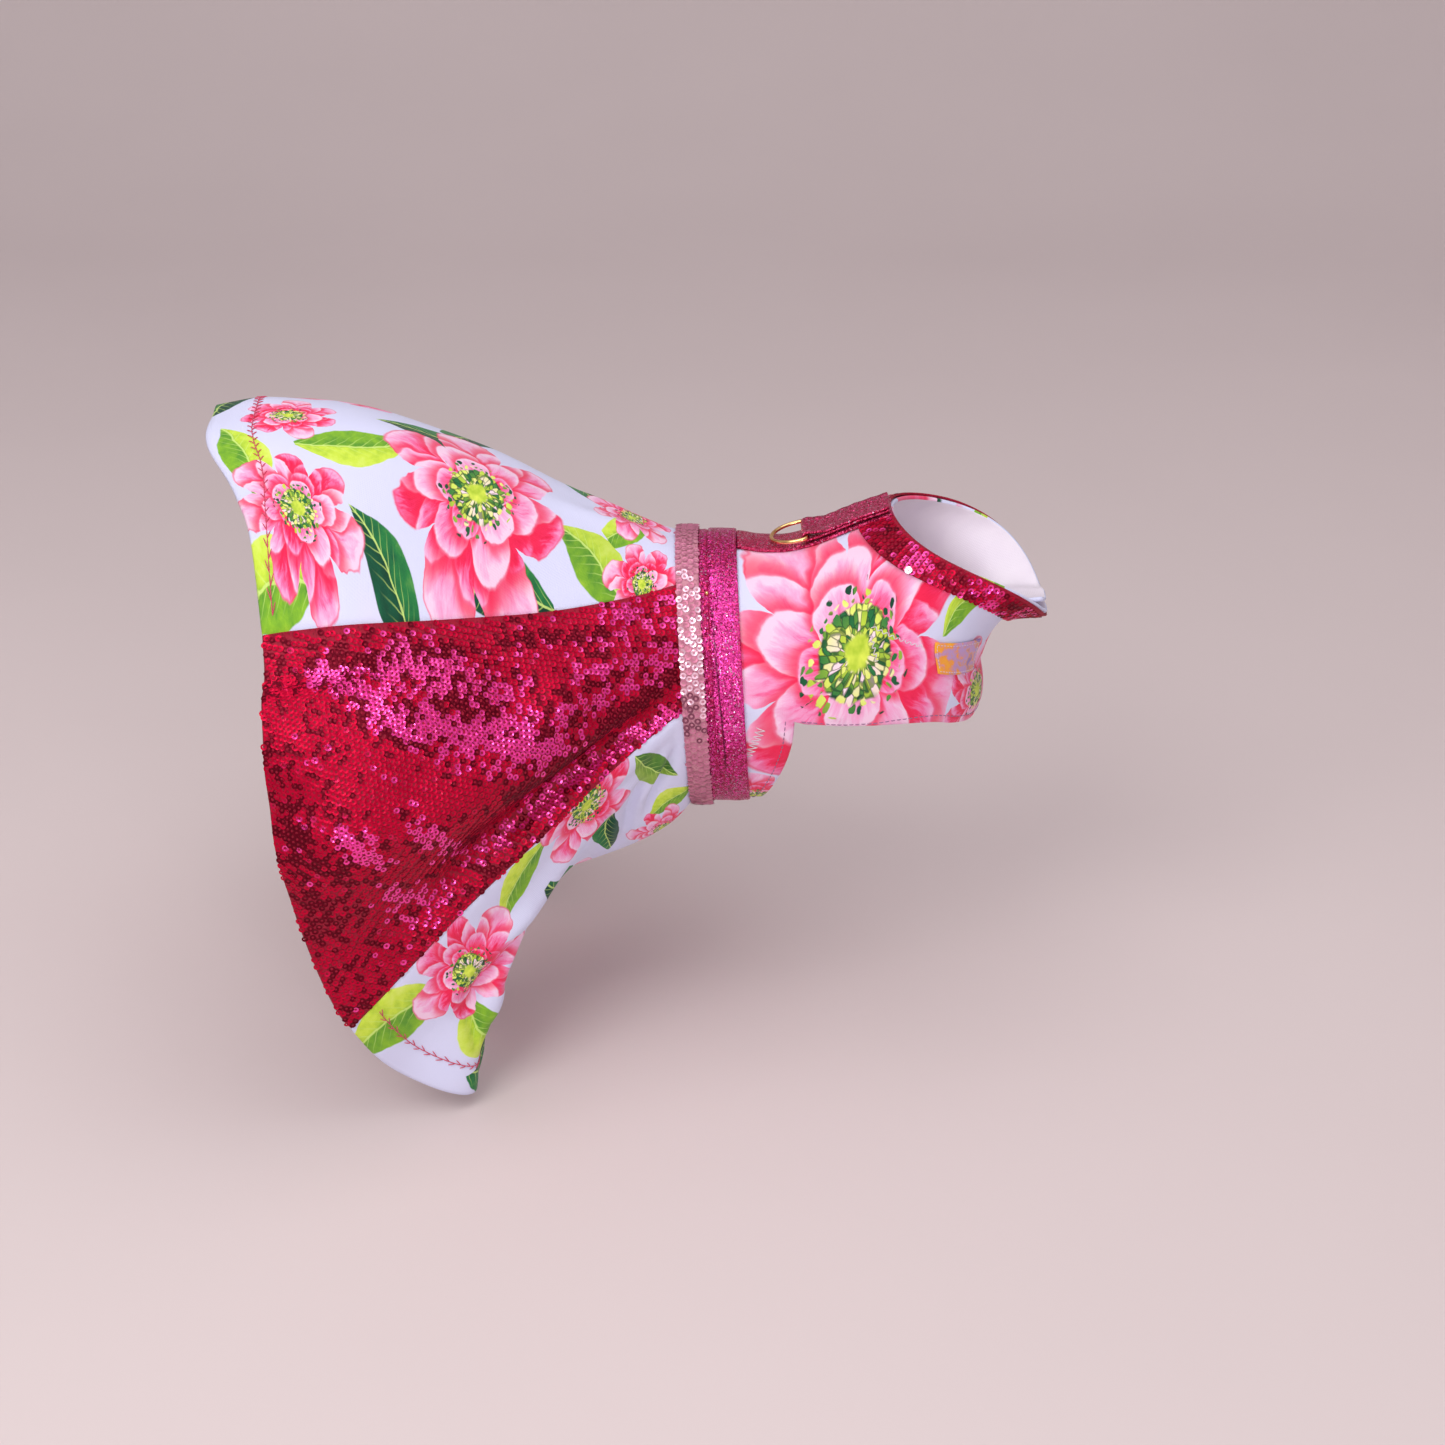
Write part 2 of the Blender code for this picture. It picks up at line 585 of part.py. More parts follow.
def ring_of_wire(name, material, path, radius, flat_normal, sides=10):
    """Round wire along a closed flat path."""
    count = len(path)
    ahead = np.roll(path, -1, axis=0) - np.roll(path, 1, axis=0)
    ahead = ahead / np.linalg.norm(ahead, axis=1, keepdims=True)
    up = np.broadcast_to(flat_normal / np.linalg.norm(flat_normal), path.shape)
    across = np.cross(ahead, up)
    turns = np.linspace(0, 2 * math.pi, sides, endpoint=False)
    points = np.concatenate([path + radius * (math.cos(a) * up + math.sin(a) * across) for a in turns])
    faces = []
    for turn in range(sides):
        this_row, next_row = turn * count, (turn + 1) % sides * count
        for i in range(count):
            after = (i + 1) % count
            faces.append((this_row + i, next_row + i, next_row + after, this_row + after))
    return solid(name, material, points, faces)


def make_label():
    """The small woven label on the right chest wing."""
    centre = body_surface(np.asarray(LABEL_STATION), np.asarray(LABEL_ANGLE))
    beside = body_surface(np.asarray(LABEL_STATION), np.asarray(LABEL_ANGLE + 1.0))
    ahead = body_surface(np.asarray(LABEL_STATION + 0.1), np.asarray(LABEL_ANGLE))
    per_degree = np.linalg.norm(beside - centre)
    per_station = np.linalg.norm(ahead - centre) / 0.1
    ups, alongs = np.linspace(-0.5, 0.5, 3) * LABEL_HEIGHT, np.linspace(-0.5, 0.5, 7) * LABEL_LENGTH
    up, along = np.meshgrid(ups, alongs, indexing="ij")
    turn = math.radians(LABEL_TURN_DEG)
    station = LABEL_STATION + (along * math.sin(turn) + up * math.cos(turn)) / per_station
    angle = LABEL_ANGLE + (along * math.cos(turn) - up * math.sin(turn)) / per_degree
    base = np.full(angle.shape, BODICE_WALL + 2 * GAP)
    outer, inner = on_body(station, angle, base + LABEL_WALL), on_body(station, angle, base)
    return sheet("label", "woven_label", outer, inner, grid_faces(3, 7))


def make_fastener(name, stations, left_end, columns, dip):
    """A plain pad of hook-and-loop tape on the left end's last columns, under the right end."""
    _, tails = bodice_columns(STRAP_END_RIGHT, STRAP_END_LEFT)
    step = (abs(left_end) - ARMHOLE_ANGLE) / tails
    station, angle = np.meshgrid(stations, left_end + step * np.asarray(columns), indexing="ij")
    base = dip(angle) + BODICE_WALL + CLOSURE_GAP
    outer, inner = on_body(station, angle, base + FASTENER_WALL), on_body(station, angle, base)
    return sheet(name, "hook_tape", outer, inner, grid_faces(len(stations), len(columns)))


# The whole dress


def clear_scene():
    for obj in list(bpy.data.objects):
        bpy.data.objects.remove(obj)


def make_materials():
    for name, colour in COLOURS.items():
        material = bpy.data.materials.new(name)
        material.use_nodes = True
        shader = material.node_tree.nodes["Principled BSDF"]
        shader.inputs["Base Color"].default_value = colour
        shader.inputs["Roughness"].default_value = SHINY_ROUGHNESS.get(name, CLOTH_ROUGHNESS)
        shader.inputs["Metallic"].default_value = 1.0 if name == "gold_metal" else 0.0
        material.diffuse_color = colour


def make_centre():
    """An empty at the centre of the waist, which carries every piece."""
    centre = bpy.data.objects.new("waist_centre", None)
    centre.location = (0.0, 0.0, -WAIST_HALF_HEIGHT)
    bpy.context.scene.collection.objects.link(centre)


def make_dress():
    make_bodice()
    ribbon_edge = spine_half_angle(LAST_STATION, SPINE_RIBBON_WIDTH) + RIBBON_SIDE_CLEARANCE_DEG
    make_collar("collar_right", ribbon_edge, WING_END_RIGHT)
    make_collar("collar_left", -ribbon_edge, LEFT_COLLAR_SHORTER_DEG - WING_END_RIGHT)
    make_waist_ribbon()
    make_waist_trim()
    make_spine_ribbon()
    make_ring_strap()
    make_leash_ring()
    make_label()
    make_fastener("chest_fastener", np.linspace(3.2, 4.1, 4), WING_END_LEFT, (1, 2, 3), wing_dip)
    make_fastener("belly_fastener", np.linspace(0.2, 0.9, 3), STRAP_END_LEFT, (0.2, 1, 2), strap_dip)
    make_skirt_panel("skirt_top", "print_cotton", -SEAM_TOP, SEAM_TOP)
    make_skirt_panel("skirt_sequin_right", "sequin_mesh", SEAM_TOP, SEAM_SIDE)
    make_skirt_panel("skirt_sequin_left", "sequin_mesh", -SEAM_SIDE, -SEAM_TOP)
    make_skirt_panel("skirt_lower_right", "print_cotton", SEAM_SIDE, SKIRT_END_RIGHT)
    make_skirt_panel("skirt_lower_left", "print_cotton", SKIRT_END_LEFT, -SEAM_SIDE)


clear_scene()
make_materials()
make_centre()
make_dress()
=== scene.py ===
"""Looks of a small pet's party dress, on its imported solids, in metres.

The cloth is built as fine grids over the same curves as the solids, with small creases added. Sequins and
stitches are real meshes, and the print is a generic one of blossoms and leaves, drawn by shader nodes in the
flat pattern of each panel.
"""

import math

import bpy
import numpy as np
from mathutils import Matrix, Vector


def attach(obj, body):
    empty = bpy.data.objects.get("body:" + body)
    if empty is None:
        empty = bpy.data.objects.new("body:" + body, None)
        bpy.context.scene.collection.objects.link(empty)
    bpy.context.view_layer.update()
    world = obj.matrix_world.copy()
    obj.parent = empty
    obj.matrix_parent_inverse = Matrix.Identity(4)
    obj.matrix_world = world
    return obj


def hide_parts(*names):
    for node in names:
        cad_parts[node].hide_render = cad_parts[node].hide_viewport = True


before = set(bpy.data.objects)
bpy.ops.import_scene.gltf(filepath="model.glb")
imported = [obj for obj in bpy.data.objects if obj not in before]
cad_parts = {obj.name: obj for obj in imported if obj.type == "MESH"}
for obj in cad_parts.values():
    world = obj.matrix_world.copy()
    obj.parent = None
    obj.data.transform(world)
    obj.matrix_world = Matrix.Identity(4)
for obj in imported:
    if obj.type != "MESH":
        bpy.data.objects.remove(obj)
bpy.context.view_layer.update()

# Sizes, the same as in the solids
WAIST_HALF_WIDTH = 0.0485
WAIST_HALF_HEIGHT = 0.0590
BAND_TILT_DEG = 3.2
BODICE_LENGTH = 0.0800
NECK_HALF_WIDTH = 0.0400
SKIRT_LENGTH = 0.2150
HEM_DEPTH = 0.0180
RIBBON_WIDTH = 0.0165
RIBBON_FRONT = 0.0138
TRIM_WIDTH = 0.0092
COLLAR_WIDTH = 0.0160
SPINE_RIBBON_WIDTH = 0.0180
LABEL_LENGTH = 0.0270
LABEL_HEIGHT = 0.0150
BODICE_WALL = 0.0020
SKIRT_WALL = 0.0012
HEM_EXTRA = 0.0008
RIBBON_WALL = 0.0014
TRIM_WALL = 0.0016
COLLAR_WALL = 0.0012
LABEL_WALL = 0.0010
STRAP_WALL = 0.0011
FASTENER_WALL = 0.0015
GAP = 0.0003
CLOSURE_GAP = 0.0008
RING_INSIDE_WIDTH = 0.0198
RING_DEPTH = 0.0175
RING_WIRE = 0.0018
RING_STATION = 3.15
STRAP_END_RIGHT = 183.0
STRAP_END_LEFT = -200.0
WING_END_RIGHT = 180.0
WING_END_LEFT = -210.0
ARMHOLE_ANGLE = 92.0
ARMHOLE_STATION = 1.5
SKIRT_END_RIGHT = 165.0
SKIRT_END_LEFT = -156.0
SEAM_TOP = 33.0
SEAM_SIDE = 88.5
LABEL_STATION = 3.95
LABEL_ANGLE = 122.0
LABEL_TURN_DEG = 20.0
RIBBON_CLEARANCE_DEG = 0.6
LEFT_COLLAR_SHORTER_DEG = 35.0
TUCK_SHARE = 0.6
LAP_DEPTH = BODICE_WALL + FASTENER_WALL + 2 * CLOSURE_GAP
STRAP_FLOOR = BODICE_WALL + GAP + RIBBON_WALL + GAP
TRIM_FRONT = RIBBON_FRONT - RIBBON_WIDTH - GAP
TRIM_RISE = BODICE_WALL + 2 * GAP + SKIRT_WALL
SKIRT_FRONT = TRIM_FRONT - TRIM_WIDTH
SKIRT_RISE = BODICE_WALL + GAP + SKIRT_WALL / 2

# The bands round the waist, laid flat: their length, and the radius that turns an angle round the waist into
# a length
BAND_LENGTH = 0.352
BAND_RADIUS = 0.0545

# Flat pattern of the skirt: a ring sector with this inner radius, turned this much for each degree of waist
PATTERN_RADIUS = 0.086
PATTERN_TURN = 2.0 / 3.0

# The lower panels' own flat pattern, in metres: where it starts round, and its width, length and area
LOWER_PATTERN_START = 0.400
LOWER_FLAT_RIGHT = (0.200, 0.200, 0.0210)
LOWER_FLAT_LEFT = (0.184, 0.200, 0.0195)

# Sequins and stitches
SEQUIN_RADIUS = 0.00140
SEQUIN_HOLE = 0.00058
SEQUIN_PITCH = 0.00285
TRIM_SEQUIN_RADIUS = 0.00145
TRIM_SEQUIN_HOLE = 0.00062
TRIM_SEQUIN_PITCH = 0.00295
THREAD_RADIUS = 0.00022
STITCH_RISE = 0.00005
SEQUIN_RISE = 0.00020
SEQUIN_SIDES = 10
SEQUIN_TILT_DEG = 6.0
SHINGLE_DEG = 3.0

# Meshes: how far a cloth's edge is rounded, as a share of its wall, the columns of a ribbon's grid, and the
# order of a quad's corners that turns its other side out
EDGE_ROUNDING = 0.35
RIBBON_COLUMNS = 13
INSIDE_OUT = [0, 3, 2, 1]

SECTION_COLUMNS = ("station", "spine_x", "spine_z", "chest_x", "chest_z", "half_width", "ahead")
SECTIONS = (
    (0.0, -0.20, 1.000, -0.12, -1.000, 1.000, 0.00),
    (1.0, 0.15, 1.000, 0.23, -1.000, 1.000, 0.00),
    (1.5, 0.25, 0.975, 0.62, -0.985, 1.060, 0.00),
    (2.0, 0.37, 0.970, 1.15, -0.820, 1.090, 0.00),
    (3.0, 0.52, 1.005, 1.48, -0.240, 1.050, 0.01),
    (4.0, 0.66, 1.075, 1.48, 0.150, 0.980, 0.03),
    (5.0, 0.81, 1.165, 1.60, 0.490, 0.900, 0.06),
    (6.0, 0.99, 1.255, 1.85, 0.530, 0.825, 0.09),
)
FIRST_STATION = 0.06
LAST_STATION = SECTIONS[-1][0]
NECK_STARTS_AT = 3.0

# A surface's normal is read off its edges by the margin, and between points a step apart
NORMAL_MARGIN = 0.02
NORMAL_STEP = 0.01
NORMAL_STEP_DEG = 0.5

# Edges of the chest wings and of the belly strap, as angle and station
WING_EDGE = (
    (92.0, 1.50), (100.0, 2.08), (109.0, 2.41), (118.0, 2.60), (136.0, 2.77), (158.0, 2.86), (210.0, 2.95),
)
WING_CORNER_ANGLE = 171.0
WING_CORNER_LIFT = 0.30
STRAP_EDGE = ((92.0, 1.50), (104.0, 1.42), (115.0, 1.33), (135.0, 1.18), (160.0, 1.06), (205.0, 1.05))
FOLD_COLUMNS = (
    "angle", "bend1_back", "bend1_out", "bend1_up", "bend2_back", "bend2_out", "bend2_up",
    "hem_back", "hem_out", "hem_up",
)
FOLDS = (
    (0.0, 0.320, 0.000, 0.350, 0.640, 0.000, 0.650, 1.000, 0.000, 0.556),
    (11.0, 0.320, 0.075, 0.345, 0.640, 0.100, 0.630, 0.995, 0.110, 0.530),
    (22.0, 0.340, 0.170, 0.300, 0.640, 0.260, 0.520, 0.925, 0.230, 0.470),
    (28.0, 0.370, 0.220, 0.245, 0.620, 0.370, 0.410, 0.880, 0.355, 0.430),
    (33.0, 0.360, 0.260, 0.195, 0.600, 0.460, 0.325, 0.846, 0.500, 0.295),
    (45.0, 0.350, 0.350, 0.130, 0.600, 0.590, 0.220, 0.842, 0.585, 0.180),
    (60.0, 0.340, 0.420, 0.050, 0.600, 0.690, 0.060, 0.838, 0.615, -0.010),
    (72.0, 0.320, 0.420, -0.030, 0.590, 0.690, -0.090, 0.815, 0.615, -0.190),
    (81.0, 0.290, 0.325, -0.090, 0.560, 0.540, -0.230, 0.765, 0.582, -0.415),
    (88.5, 0.290, 0.345, -0.120, 0.530, 0.550, -0.340, 0.720, 0.550, -0.545),
    (96.0, 0.295, 0.315, -0.160, 0.500, 0.490, -0.450, 0.635, 0.508, -0.675),
    (104.0, 0.285, 0.290, -0.200, 0.455, 0.440, -0.520, 0.500, 0.470, -0.750),
    (110.0, 0.290, 0.250, -0.240, 0.465, 0.350, -0.500, 0.490, 0.400, -0.745),
    (116.0, 0.290, 0.235, -0.270, 0.430, 0.320, -0.480, 0.475, 0.350, -0.700),
    (131.0, 0.210, 0.185, -0.385, 0.480, 0.205, -0.400, 0.580, 0.225, -0.670),
    (148.0, 0.170, 0.125, -0.450, 0.500, 0.150, -0.370, 0.700, 0.190, -0.610),
    (165.0, 0.160, 0.075, -0.440, 0.520, 0.110, -0.370, 0.820, 0.190, -0.560),
)

# Small creases in the skirt: each runs straight in the flat pattern from one point to the other, points
# given as waist angle and share of the length. Then come its width and height, below 0 for a groove.
CREASES = (
    (5.0, 0.02, 9.0, 0.30, 0.006, 0.0016),
    (-8.0, 0.02, -12.0, 0.26, 0.006, 0.0014),
    (17.0, 0.02, 19.0, 0.20, 0.005, -0.0010),
    (42.0, 0.02, 46.0, 0.30, 0.006, -0.0012),
    (55.0, 0.03, 58.0, 0.45, 0.009, 0.0014),
    (66.0, 0.02, 69.0, 0.40, 0.008, -0.0013),
    (79.0, 0.02, 80.5, 0.66, 0.008, -0.0050),
    (86.5, 0.04, 86.0, 0.62, 0.007, 0.0022),
    (73.0, 0.05, 74.0, 0.50, 0.007, 0.0020),
    (72.0, 0.45, 78.0, 0.85, 0.012, 0.0014),
    (48.0, 0.50, 44.0, 0.95, 0.014, -0.0012),
    (105.5, 0.52, 100.0, 0.68, 0.0042, -0.0050),
    (100.0, 0.66, 99.4, 0.78, 0.0042, -0.0050),
    (99.2, 0.76, 104.5, 0.88, 0.0042, -0.0046),
    (102.0, 0.50, 96.5, 0.68, 0.0060, 0.0034),
    (96.5, 0.66, 96.0, 0.82, 0.0060, 0.0034),
    (104.0, 0.70, 106.0, 0.80, 0.0060, 0.0026),
    (97.0, 0.00, 128.0, 0.20, 0.0042, -0.0030),
    (100.0, 0.06, 134.0, 0.26, 0.0042, 0.0024),
    (103.0, 0.13, 140.0, 0.31, 0.0045, -0.0034),
    (104.0, 0.21, 138.0, 0.37, 0.0050, 0.0022),
    (93.0, 0.02, 95.0, 0.30, 0.0050, 0.0016),
    (-42.0, 0.04, -45.0, 0.36, 0.007, -0.0012),
    (-62.0, 0.03, -60.0, 0.45, 0.009, 0.0015),
    (-80.0, 0.02, -81.0, 0.60, 0.008, -0.0020),
    (-100.0, 0.40, -104.0, 1.02, 0.008, 0.0020),
    (-120.0, 0.10, -145.0, 0.26, 0.006, 0.0016),
)

# Bands of painted highlight and painted shade on the side panels' sequins, laid out as the creases are and
# alike on both sides of the skirt. The last column is how they look: above 0 their sequins are painted
# bright, a painted highlight, and below 0 they are painted dark, a painted shade.
PAINTED_GLEAMS = (
    (39.0, 0.68, 51.0, 0.42, 0.014, 0.9),
    (51.8, 0.60, 67.0, 0.32, 0.014, 1.1),
    (38.5, 0.86, 54.0, 0.62, 0.008, 1.0),
    (38.0, 0.16, 46.0, 0.01, 0.008, 0.7),
    (50.0, 0.22, 62.0, 0.02, 0.010, 0.6),
    (60.5, 0.29, 64.5, 0.02, 0.007, 0.8),
    (87.0, 0.03, 82.5, 0.41, 0.006, 1.1),
    (82.5, 0.41, 81.8, 0.58, 0.005, 0.9),
    (66.5, 0.82, 71.0, 0.76, 0.007, 1.1),
    (71.0, 0.64, 77.0, 0.59, 0.007, 1.0),
    (78.0, 0.77, 83.0, 0.70, 0.009, 0.8),
    (36.5, 0.84, 40.0, 0.56, 0.012, -0.8),
    (47.0, 0.75, 53.2, 0.65, 0.009, -0.9),
    (36.5, 0.42, 45.0, 0.18, 0.006, -0.7),
    (71.0, 0.03, 73.5, 0.42, 0.006, -1.1),
    (62.0, 0.93, 76.0, 0.94, 0.013, -0.8),
    (86.2, 0.60, 87.5, 0.40, 0.004, -0.6),
    (70.0, 0.86, 76.2, 0.84, 0.009, -0.7),
    (46.5, 0.58, 52.5, 0.45, 0.007, -0.6),
)


def srgb(r, g, b):
    """A colour as seen on a screen, made linear, with alpha."""
    return tuple(c / 12.92 if c <= 0.04045 else ((c + 0.055) / 1.055) ** 2.4 for c in (r, g, b)) + (1.0,)


def ramp_stops(*rows):
    """Rows of place, red, green and blue, as a colour ramp takes them."""
    return tuple((place, srgb(*colour)) for place, *colour in rows)


# Interpolation and the body's surface, as in the solids


def through(knots, values, at):
    """A smooth curve through the values at the knots, read at each place in at."""
    knots = np.asarray(knots, float)
    values = np.asarray(values, float)
    at = np.clip(np.asarray(at, float), knots[0], knots[-1])
    slopes = np.gradient(values, knots, axis=0)
    i = np.clip(np.searchsorted(knots, at, side="right") - 1, 0, len(knots) - 2)
    step = knots[i + 1] - knots[i]
    s = (at - knots[i]) / step
    a, b = values[i], values[i + 1]
    return (
        (2 * s**3 - 3 * s**2 + 1) * a
        + (s**3 - 2 * s**2 + s) * step * slopes[i]
        + (3 * s**2 - 2 * s**3) * b
        + (s**3 - s**2) * step * slopes[i + 1]
    )


def column(table, names, name):
    return [row[names.index(name)] for row in table]


def ramp(x, start, end):
    """0 before start, 1 after end, smooth between."""
    s = np.clip((np.asarray(x, float) - start) / (end - start), 0.0, 1.0)
    return s * s * (3 - 2 * s)


def unit(vectors):
    return vectors / np.maximum(np.linalg.norm(vectors, axis=-1, keepdims=True), 1e-12)


def in_row(points):
    """From the centre of the waist to the row frame, whose origin is on the spine."""
    return points - np.array([0.0, 0.0, WAIST_HALF_HEIGHT])


def run_along(points):
    """Length along a line of points, from its start to each of them."""
    return np.concatenate([[0.0], np.cumsum(np.linalg.norm(np.diff(points, axis=0), axis=1))])


def section(name, station):
    stations = column(SECTIONS, SECTION_COLUMNS, "station")
    return through(stations, column(SECTIONS, SECTION_COLUMNS, name), station)


def body_surface(station, angle):
    """A point on the wearer's body, measured from the centre of the waist."""
    theta = np.radians(angle)
    spine_x = section("spine_x", station) * BODICE_LENGTH
    chest_x = section("chest_x", station) * BODICE_LENGTH
    spine_z = section("spine_z", station) * WAIST_HALF_HEIGHT
    chest_z = section("chest_z", station) * WAIST_HALF_HEIGHT
    neck_share = ramp(station, NECK_STARTS_AT, LAST_STATION)
    width_share = section("half_width", station)
    neck_width = width_share / column(SECTIONS, SECTION_COLUMNS, "half_width")[-1] * NECK_HALF_WIDTH
    half_width = width_share * WAIST_HALF_WIDTH * (1 - neck_share) + neck_width * neck_share
    lean = section("ahead", station) * BODICE_LENGTH * np.sin(theta) ** 2 * (1 - np.cos(theta))
    drop_x, drop_z = chest_x - spine_x, chest_z - spine_z
    drop = np.hypot(drop_x, drop_z)
    share = (1 - np.cos(theta)) / 2
    x = spine_x + drop_x * share - drop_z / drop * lean
    z = spine_z + drop_z * share + drop_x / drop * lean
    return np.stack([x, -half_width * np.sin(theta), z], axis=-1)


def outward(surface, u, v):
    """Unit normals of surface(u, v), by differences."""
    along_u = surface(u + NORMAL_STEP, v) - surface(u - NORMAL_STEP, v)
    along_v = surface(u, v + NORMAL_STEP_DEG) - surface(u, v - NORMAL_STEP_DEG)
    return unit(np.cross(along_v, along_u))


def on_body(station, angle, offset):
    """A point that far outside the body."""
    station, angle = np.broadcast_arrays(np.asarray(station, float), np.asarray(angle, float))
    normal = outward(body_surface, np.clip(station, NORMAL_MARGIN, LAST_STATION - NORMAL_MARGIN), angle)
    return body_surface(station, angle) + normal * np.asarray(offset, float)[..., None]


def strap_dip(angle):
    """How far the left end of the belly strap goes in under the right end."""
    return -LAP_DEPTH * ramp(-angle, 161.0, 176.0)


def wing_dip(angle):
    return -LAP_DEPTH * ramp(-angle, 158.0, 176.0)


def wing_edge_station(angle):
    edge = through(*zip(*WING_EDGE), np.abs(angle))
    corner = (np.asarray(angle) - WING_CORNER_ANGLE) / (WING_END_RIGHT - WING_CORNER_ANGLE)
    return edge + WING_CORNER_LIFT * (1 - np.sqrt(1 - np.clip(corner, 0.0, 1.0) ** 2 * 0.98))


def strap_edge_station(angle):
    return through(*zip(*STRAP_EDGE), np.abs(angle))


def band_x(z):
    return -math.tan(math.radians(BAND_TILT_DEG)) * z


def waist_point(forward, angle, offset):
    """A point round the waist, that far forward along the wearer and outside the body."""
    theta = np.radians(angle)
    y, z = -np.sin(theta) * WAIST_HALF_WIDTH, np.cos(theta) * WAIST_HALF_HEIGHT
    normal = unit(np.stack([-np.sin(theta) * WAIST_HALF_HEIGHT, np.cos(theta) * WAIST_HALF_WIDTH], axis=-1))
    y, z = y + normal[..., 0] * offset, z + normal[..., 1] * offset
    return np.stack([forward + band_x(z), y, z], axis=-1)


# Creases and the skirt's surface


def wobble(points, wavelength, seed):
    """Smooth noise from -1 to 1 at 3-D points."""
    rng = np.random.default_rng(seed)
    total = np.zeros(points.shape[:-1])
    for _ in range(7):
        direction = unit(rng.normal(size=3))
        scale = wavelength * rng.uniform(0.7, 1.6)
        total += np.sin(points @ direction * (2 * math.pi / scale) + rng.uniform(0, 2 * math.pi))
    return total / 3.5


def pattern(share, angle):
    """Where a point of the skirt lies in its flat pattern, in metres."""
    radius = PATTERN_RADIUS + share * SKIRT_LENGTH
    turn = np.radians(angle * PATTERN_TURN)
    return np.stack([radius * np.sin(turn), radius * np.cos(turn)], axis=-1)


def on_line(at, angle1, share1, angle2, share2, width):
    """(share of the way along a line of the flat pattern, nearness to it from 0 to 1) of points on it."""
    start = pattern(np.asarray(share1), np.asarray(angle1))
    run = pattern(np.asarray(share2), np.asarray(angle2)) - start
    place = np.clip(((at - start) @ run) / (run @ run), 0.0, 1.0)
    away = np.linalg.norm(at - start - place[..., None] * run, axis=-1)
    return place, np.exp(-((away / width) ** 2))


def crease_height(share, angle):
    """Height of the skirt's small creases."""
    at = pattern(share, angle)
    height = np.zeros(at.shape[:-1])
    for *line, tall in CREASES:
        place, near = on_line(at, *line)
        height += tall * near * np.sin(math.pi * np.clip(place, 0.02, 0.98)) ** 0.6
    return height


def foil_gleam(share, angle, rng):
    """Painted reflection of each sequin of a side panel, from -1 for painted shade to 1 for a painted
    highlight, 0 being like the net.
    """
    at = pattern(share, np.abs(angle))
    # Shares of sequins with painted highlight and with painted shade, the painted shade growing towards the
    # hem
    bright, dark = np.full(len(at), 0.03), 0.06 + 0.30 * ramp(share, 0.72, 1.0)
    for *line, painted_gleam in PAINTED_GLEAMS:
        near = on_line(at, *line)[1]
        if painted_gleam > 0:
            bright = np.maximum(bright, painted_gleam * near**1.3 * 0.85)
            # Painted shade also rims each band of painted highlight
            dark += 0.5 * near * (1 - near)
        else:
            dark = np.maximum(dark, -painted_gleam * near)
    spots = np.concatenate([at, np.zeros((len(at), 1))], axis=1)
    pick = 0.5 + 0.5 * np.tanh(0.8 * wobble(spots, 0.007, 17) + 0.7 * rng.normal(size=len(at)))
    plain = 0.14 * rng.normal(size=len(at))
    return np.where(pick < bright, 0.95, np.where(pick > 1 - dark, -0.95, plain))


def fold_points(angle):
    """The three points that shape the skirt's line at each angle."""
    angles = column(FOLDS, FOLD_COLUMNS, "angle")
    knots = [-k for k in reversed(angles[1:])] + angles
    points = []
    for name in ("bend1", "bend2", "hem"):
        read = {}
        for axis, mirror in (("back", 1.0), ("out", -1.0), ("up", 1.0)):
            values = column(FOLDS, FOLD_COLUMNS, f"{name}_{axis}")
            both = [mirror * v for v in reversed(values[1:])] + values
            read[axis] = through(knots, both, np.abs(angle)) * SKIRT_LENGTH
        points.append(np.stack([-read["back"], -np.sign(angle) * read["out"], read["up"]], axis=-1))
    return points


def skirt_surface(share, angle):
    """A point of the skirt's middle layer: share 0 is where it leaves the trim and 1 is the hem."""
    share, angle = np.broadcast_arrays(np.asarray(share, float), np.asarray(angle, float))
    waist = waist_point(SKIRT_FRONT, angle, SKIRT_RISE)
    bend1, bend2, hem = fold_points(angle)
    s = share[..., None]
    return (1 - s) ** 3 * waist + 3 * s * (1 - s) ** 2 * bend1 + 3 * s**2 * (1 - s) * bend2 + s**3 * hem


def on_skirt(share, angle, offset=0.0):
    """A point that far outside the skirt's middle layer, with creases. A share below 0 is under the trim."""
    share, angle = np.broadcast_arrays(np.asarray(share, float), np.asarray(angle, float))
    offset = np.broadcast_to(np.asarray(offset, float), share.shape)
    normal = -outward(skirt_surface, np.clip(share, NORMAL_MARGIN, 1 - NORMAL_MARGIN), angle)
    flat = skirt_surface(np.clip(share, 0.0, 1.0), angle)
    relief = crease_height(share, angle) * ramp(share, 0.0, 0.06)
    relief = relief + 0.0007 * wobble(flat, 0.055, 3) * ramp(share, 0.0, 0.12)
    relief = relief + 0.0009 * wobble(flat, 0.028, 8) * ramp(share, 0.75, 1.0)
    flared = flat + normal * (offset + relief)[..., None]
    tucked = waist_point(SKIRT_FRONT - np.minimum(share, 0.0) * SKIRT_LENGTH, angle, SKIRT_RISE + offset)
    return np.where((share <= 0.0)[..., None], tucked, flared)


# Meshes


def grid_faces(rows, columns, start=0):
    """Quads of a grid stored row by row."""
    r, c = np.meshgrid(np.arange(rows - 1), np.arange(columns - 1), indexing="ij")
    first = (start + r * columns + c).ravel()
    return np.stack([first, first + 1, first + columns + 1, first + columns], axis=1)


def tube_faces(rings, sides, closed=False):
    """Quads round a tube stored ring by ring. A closed one's last ring is joined to its first."""
    ring, side = np.meshgrid(np.arange(rings if closed else rings - 1), np.arange(sides), indexing="ij")
    ring, side = ring.ravel(), side.ravel()
    here, there, turn = ring * sides, (ring + 1) % rings * sides, (side + 1) % sides
    return np.stack([here + side, here + turn, there + turn, there + side], axis=1)


def repeated(faces, count, step):
    """The faces of count like meshes whose vertices start a step apart."""
    return (faces[None] + (np.arange(count) * step)[:, None, None]).reshape(-1, 4)


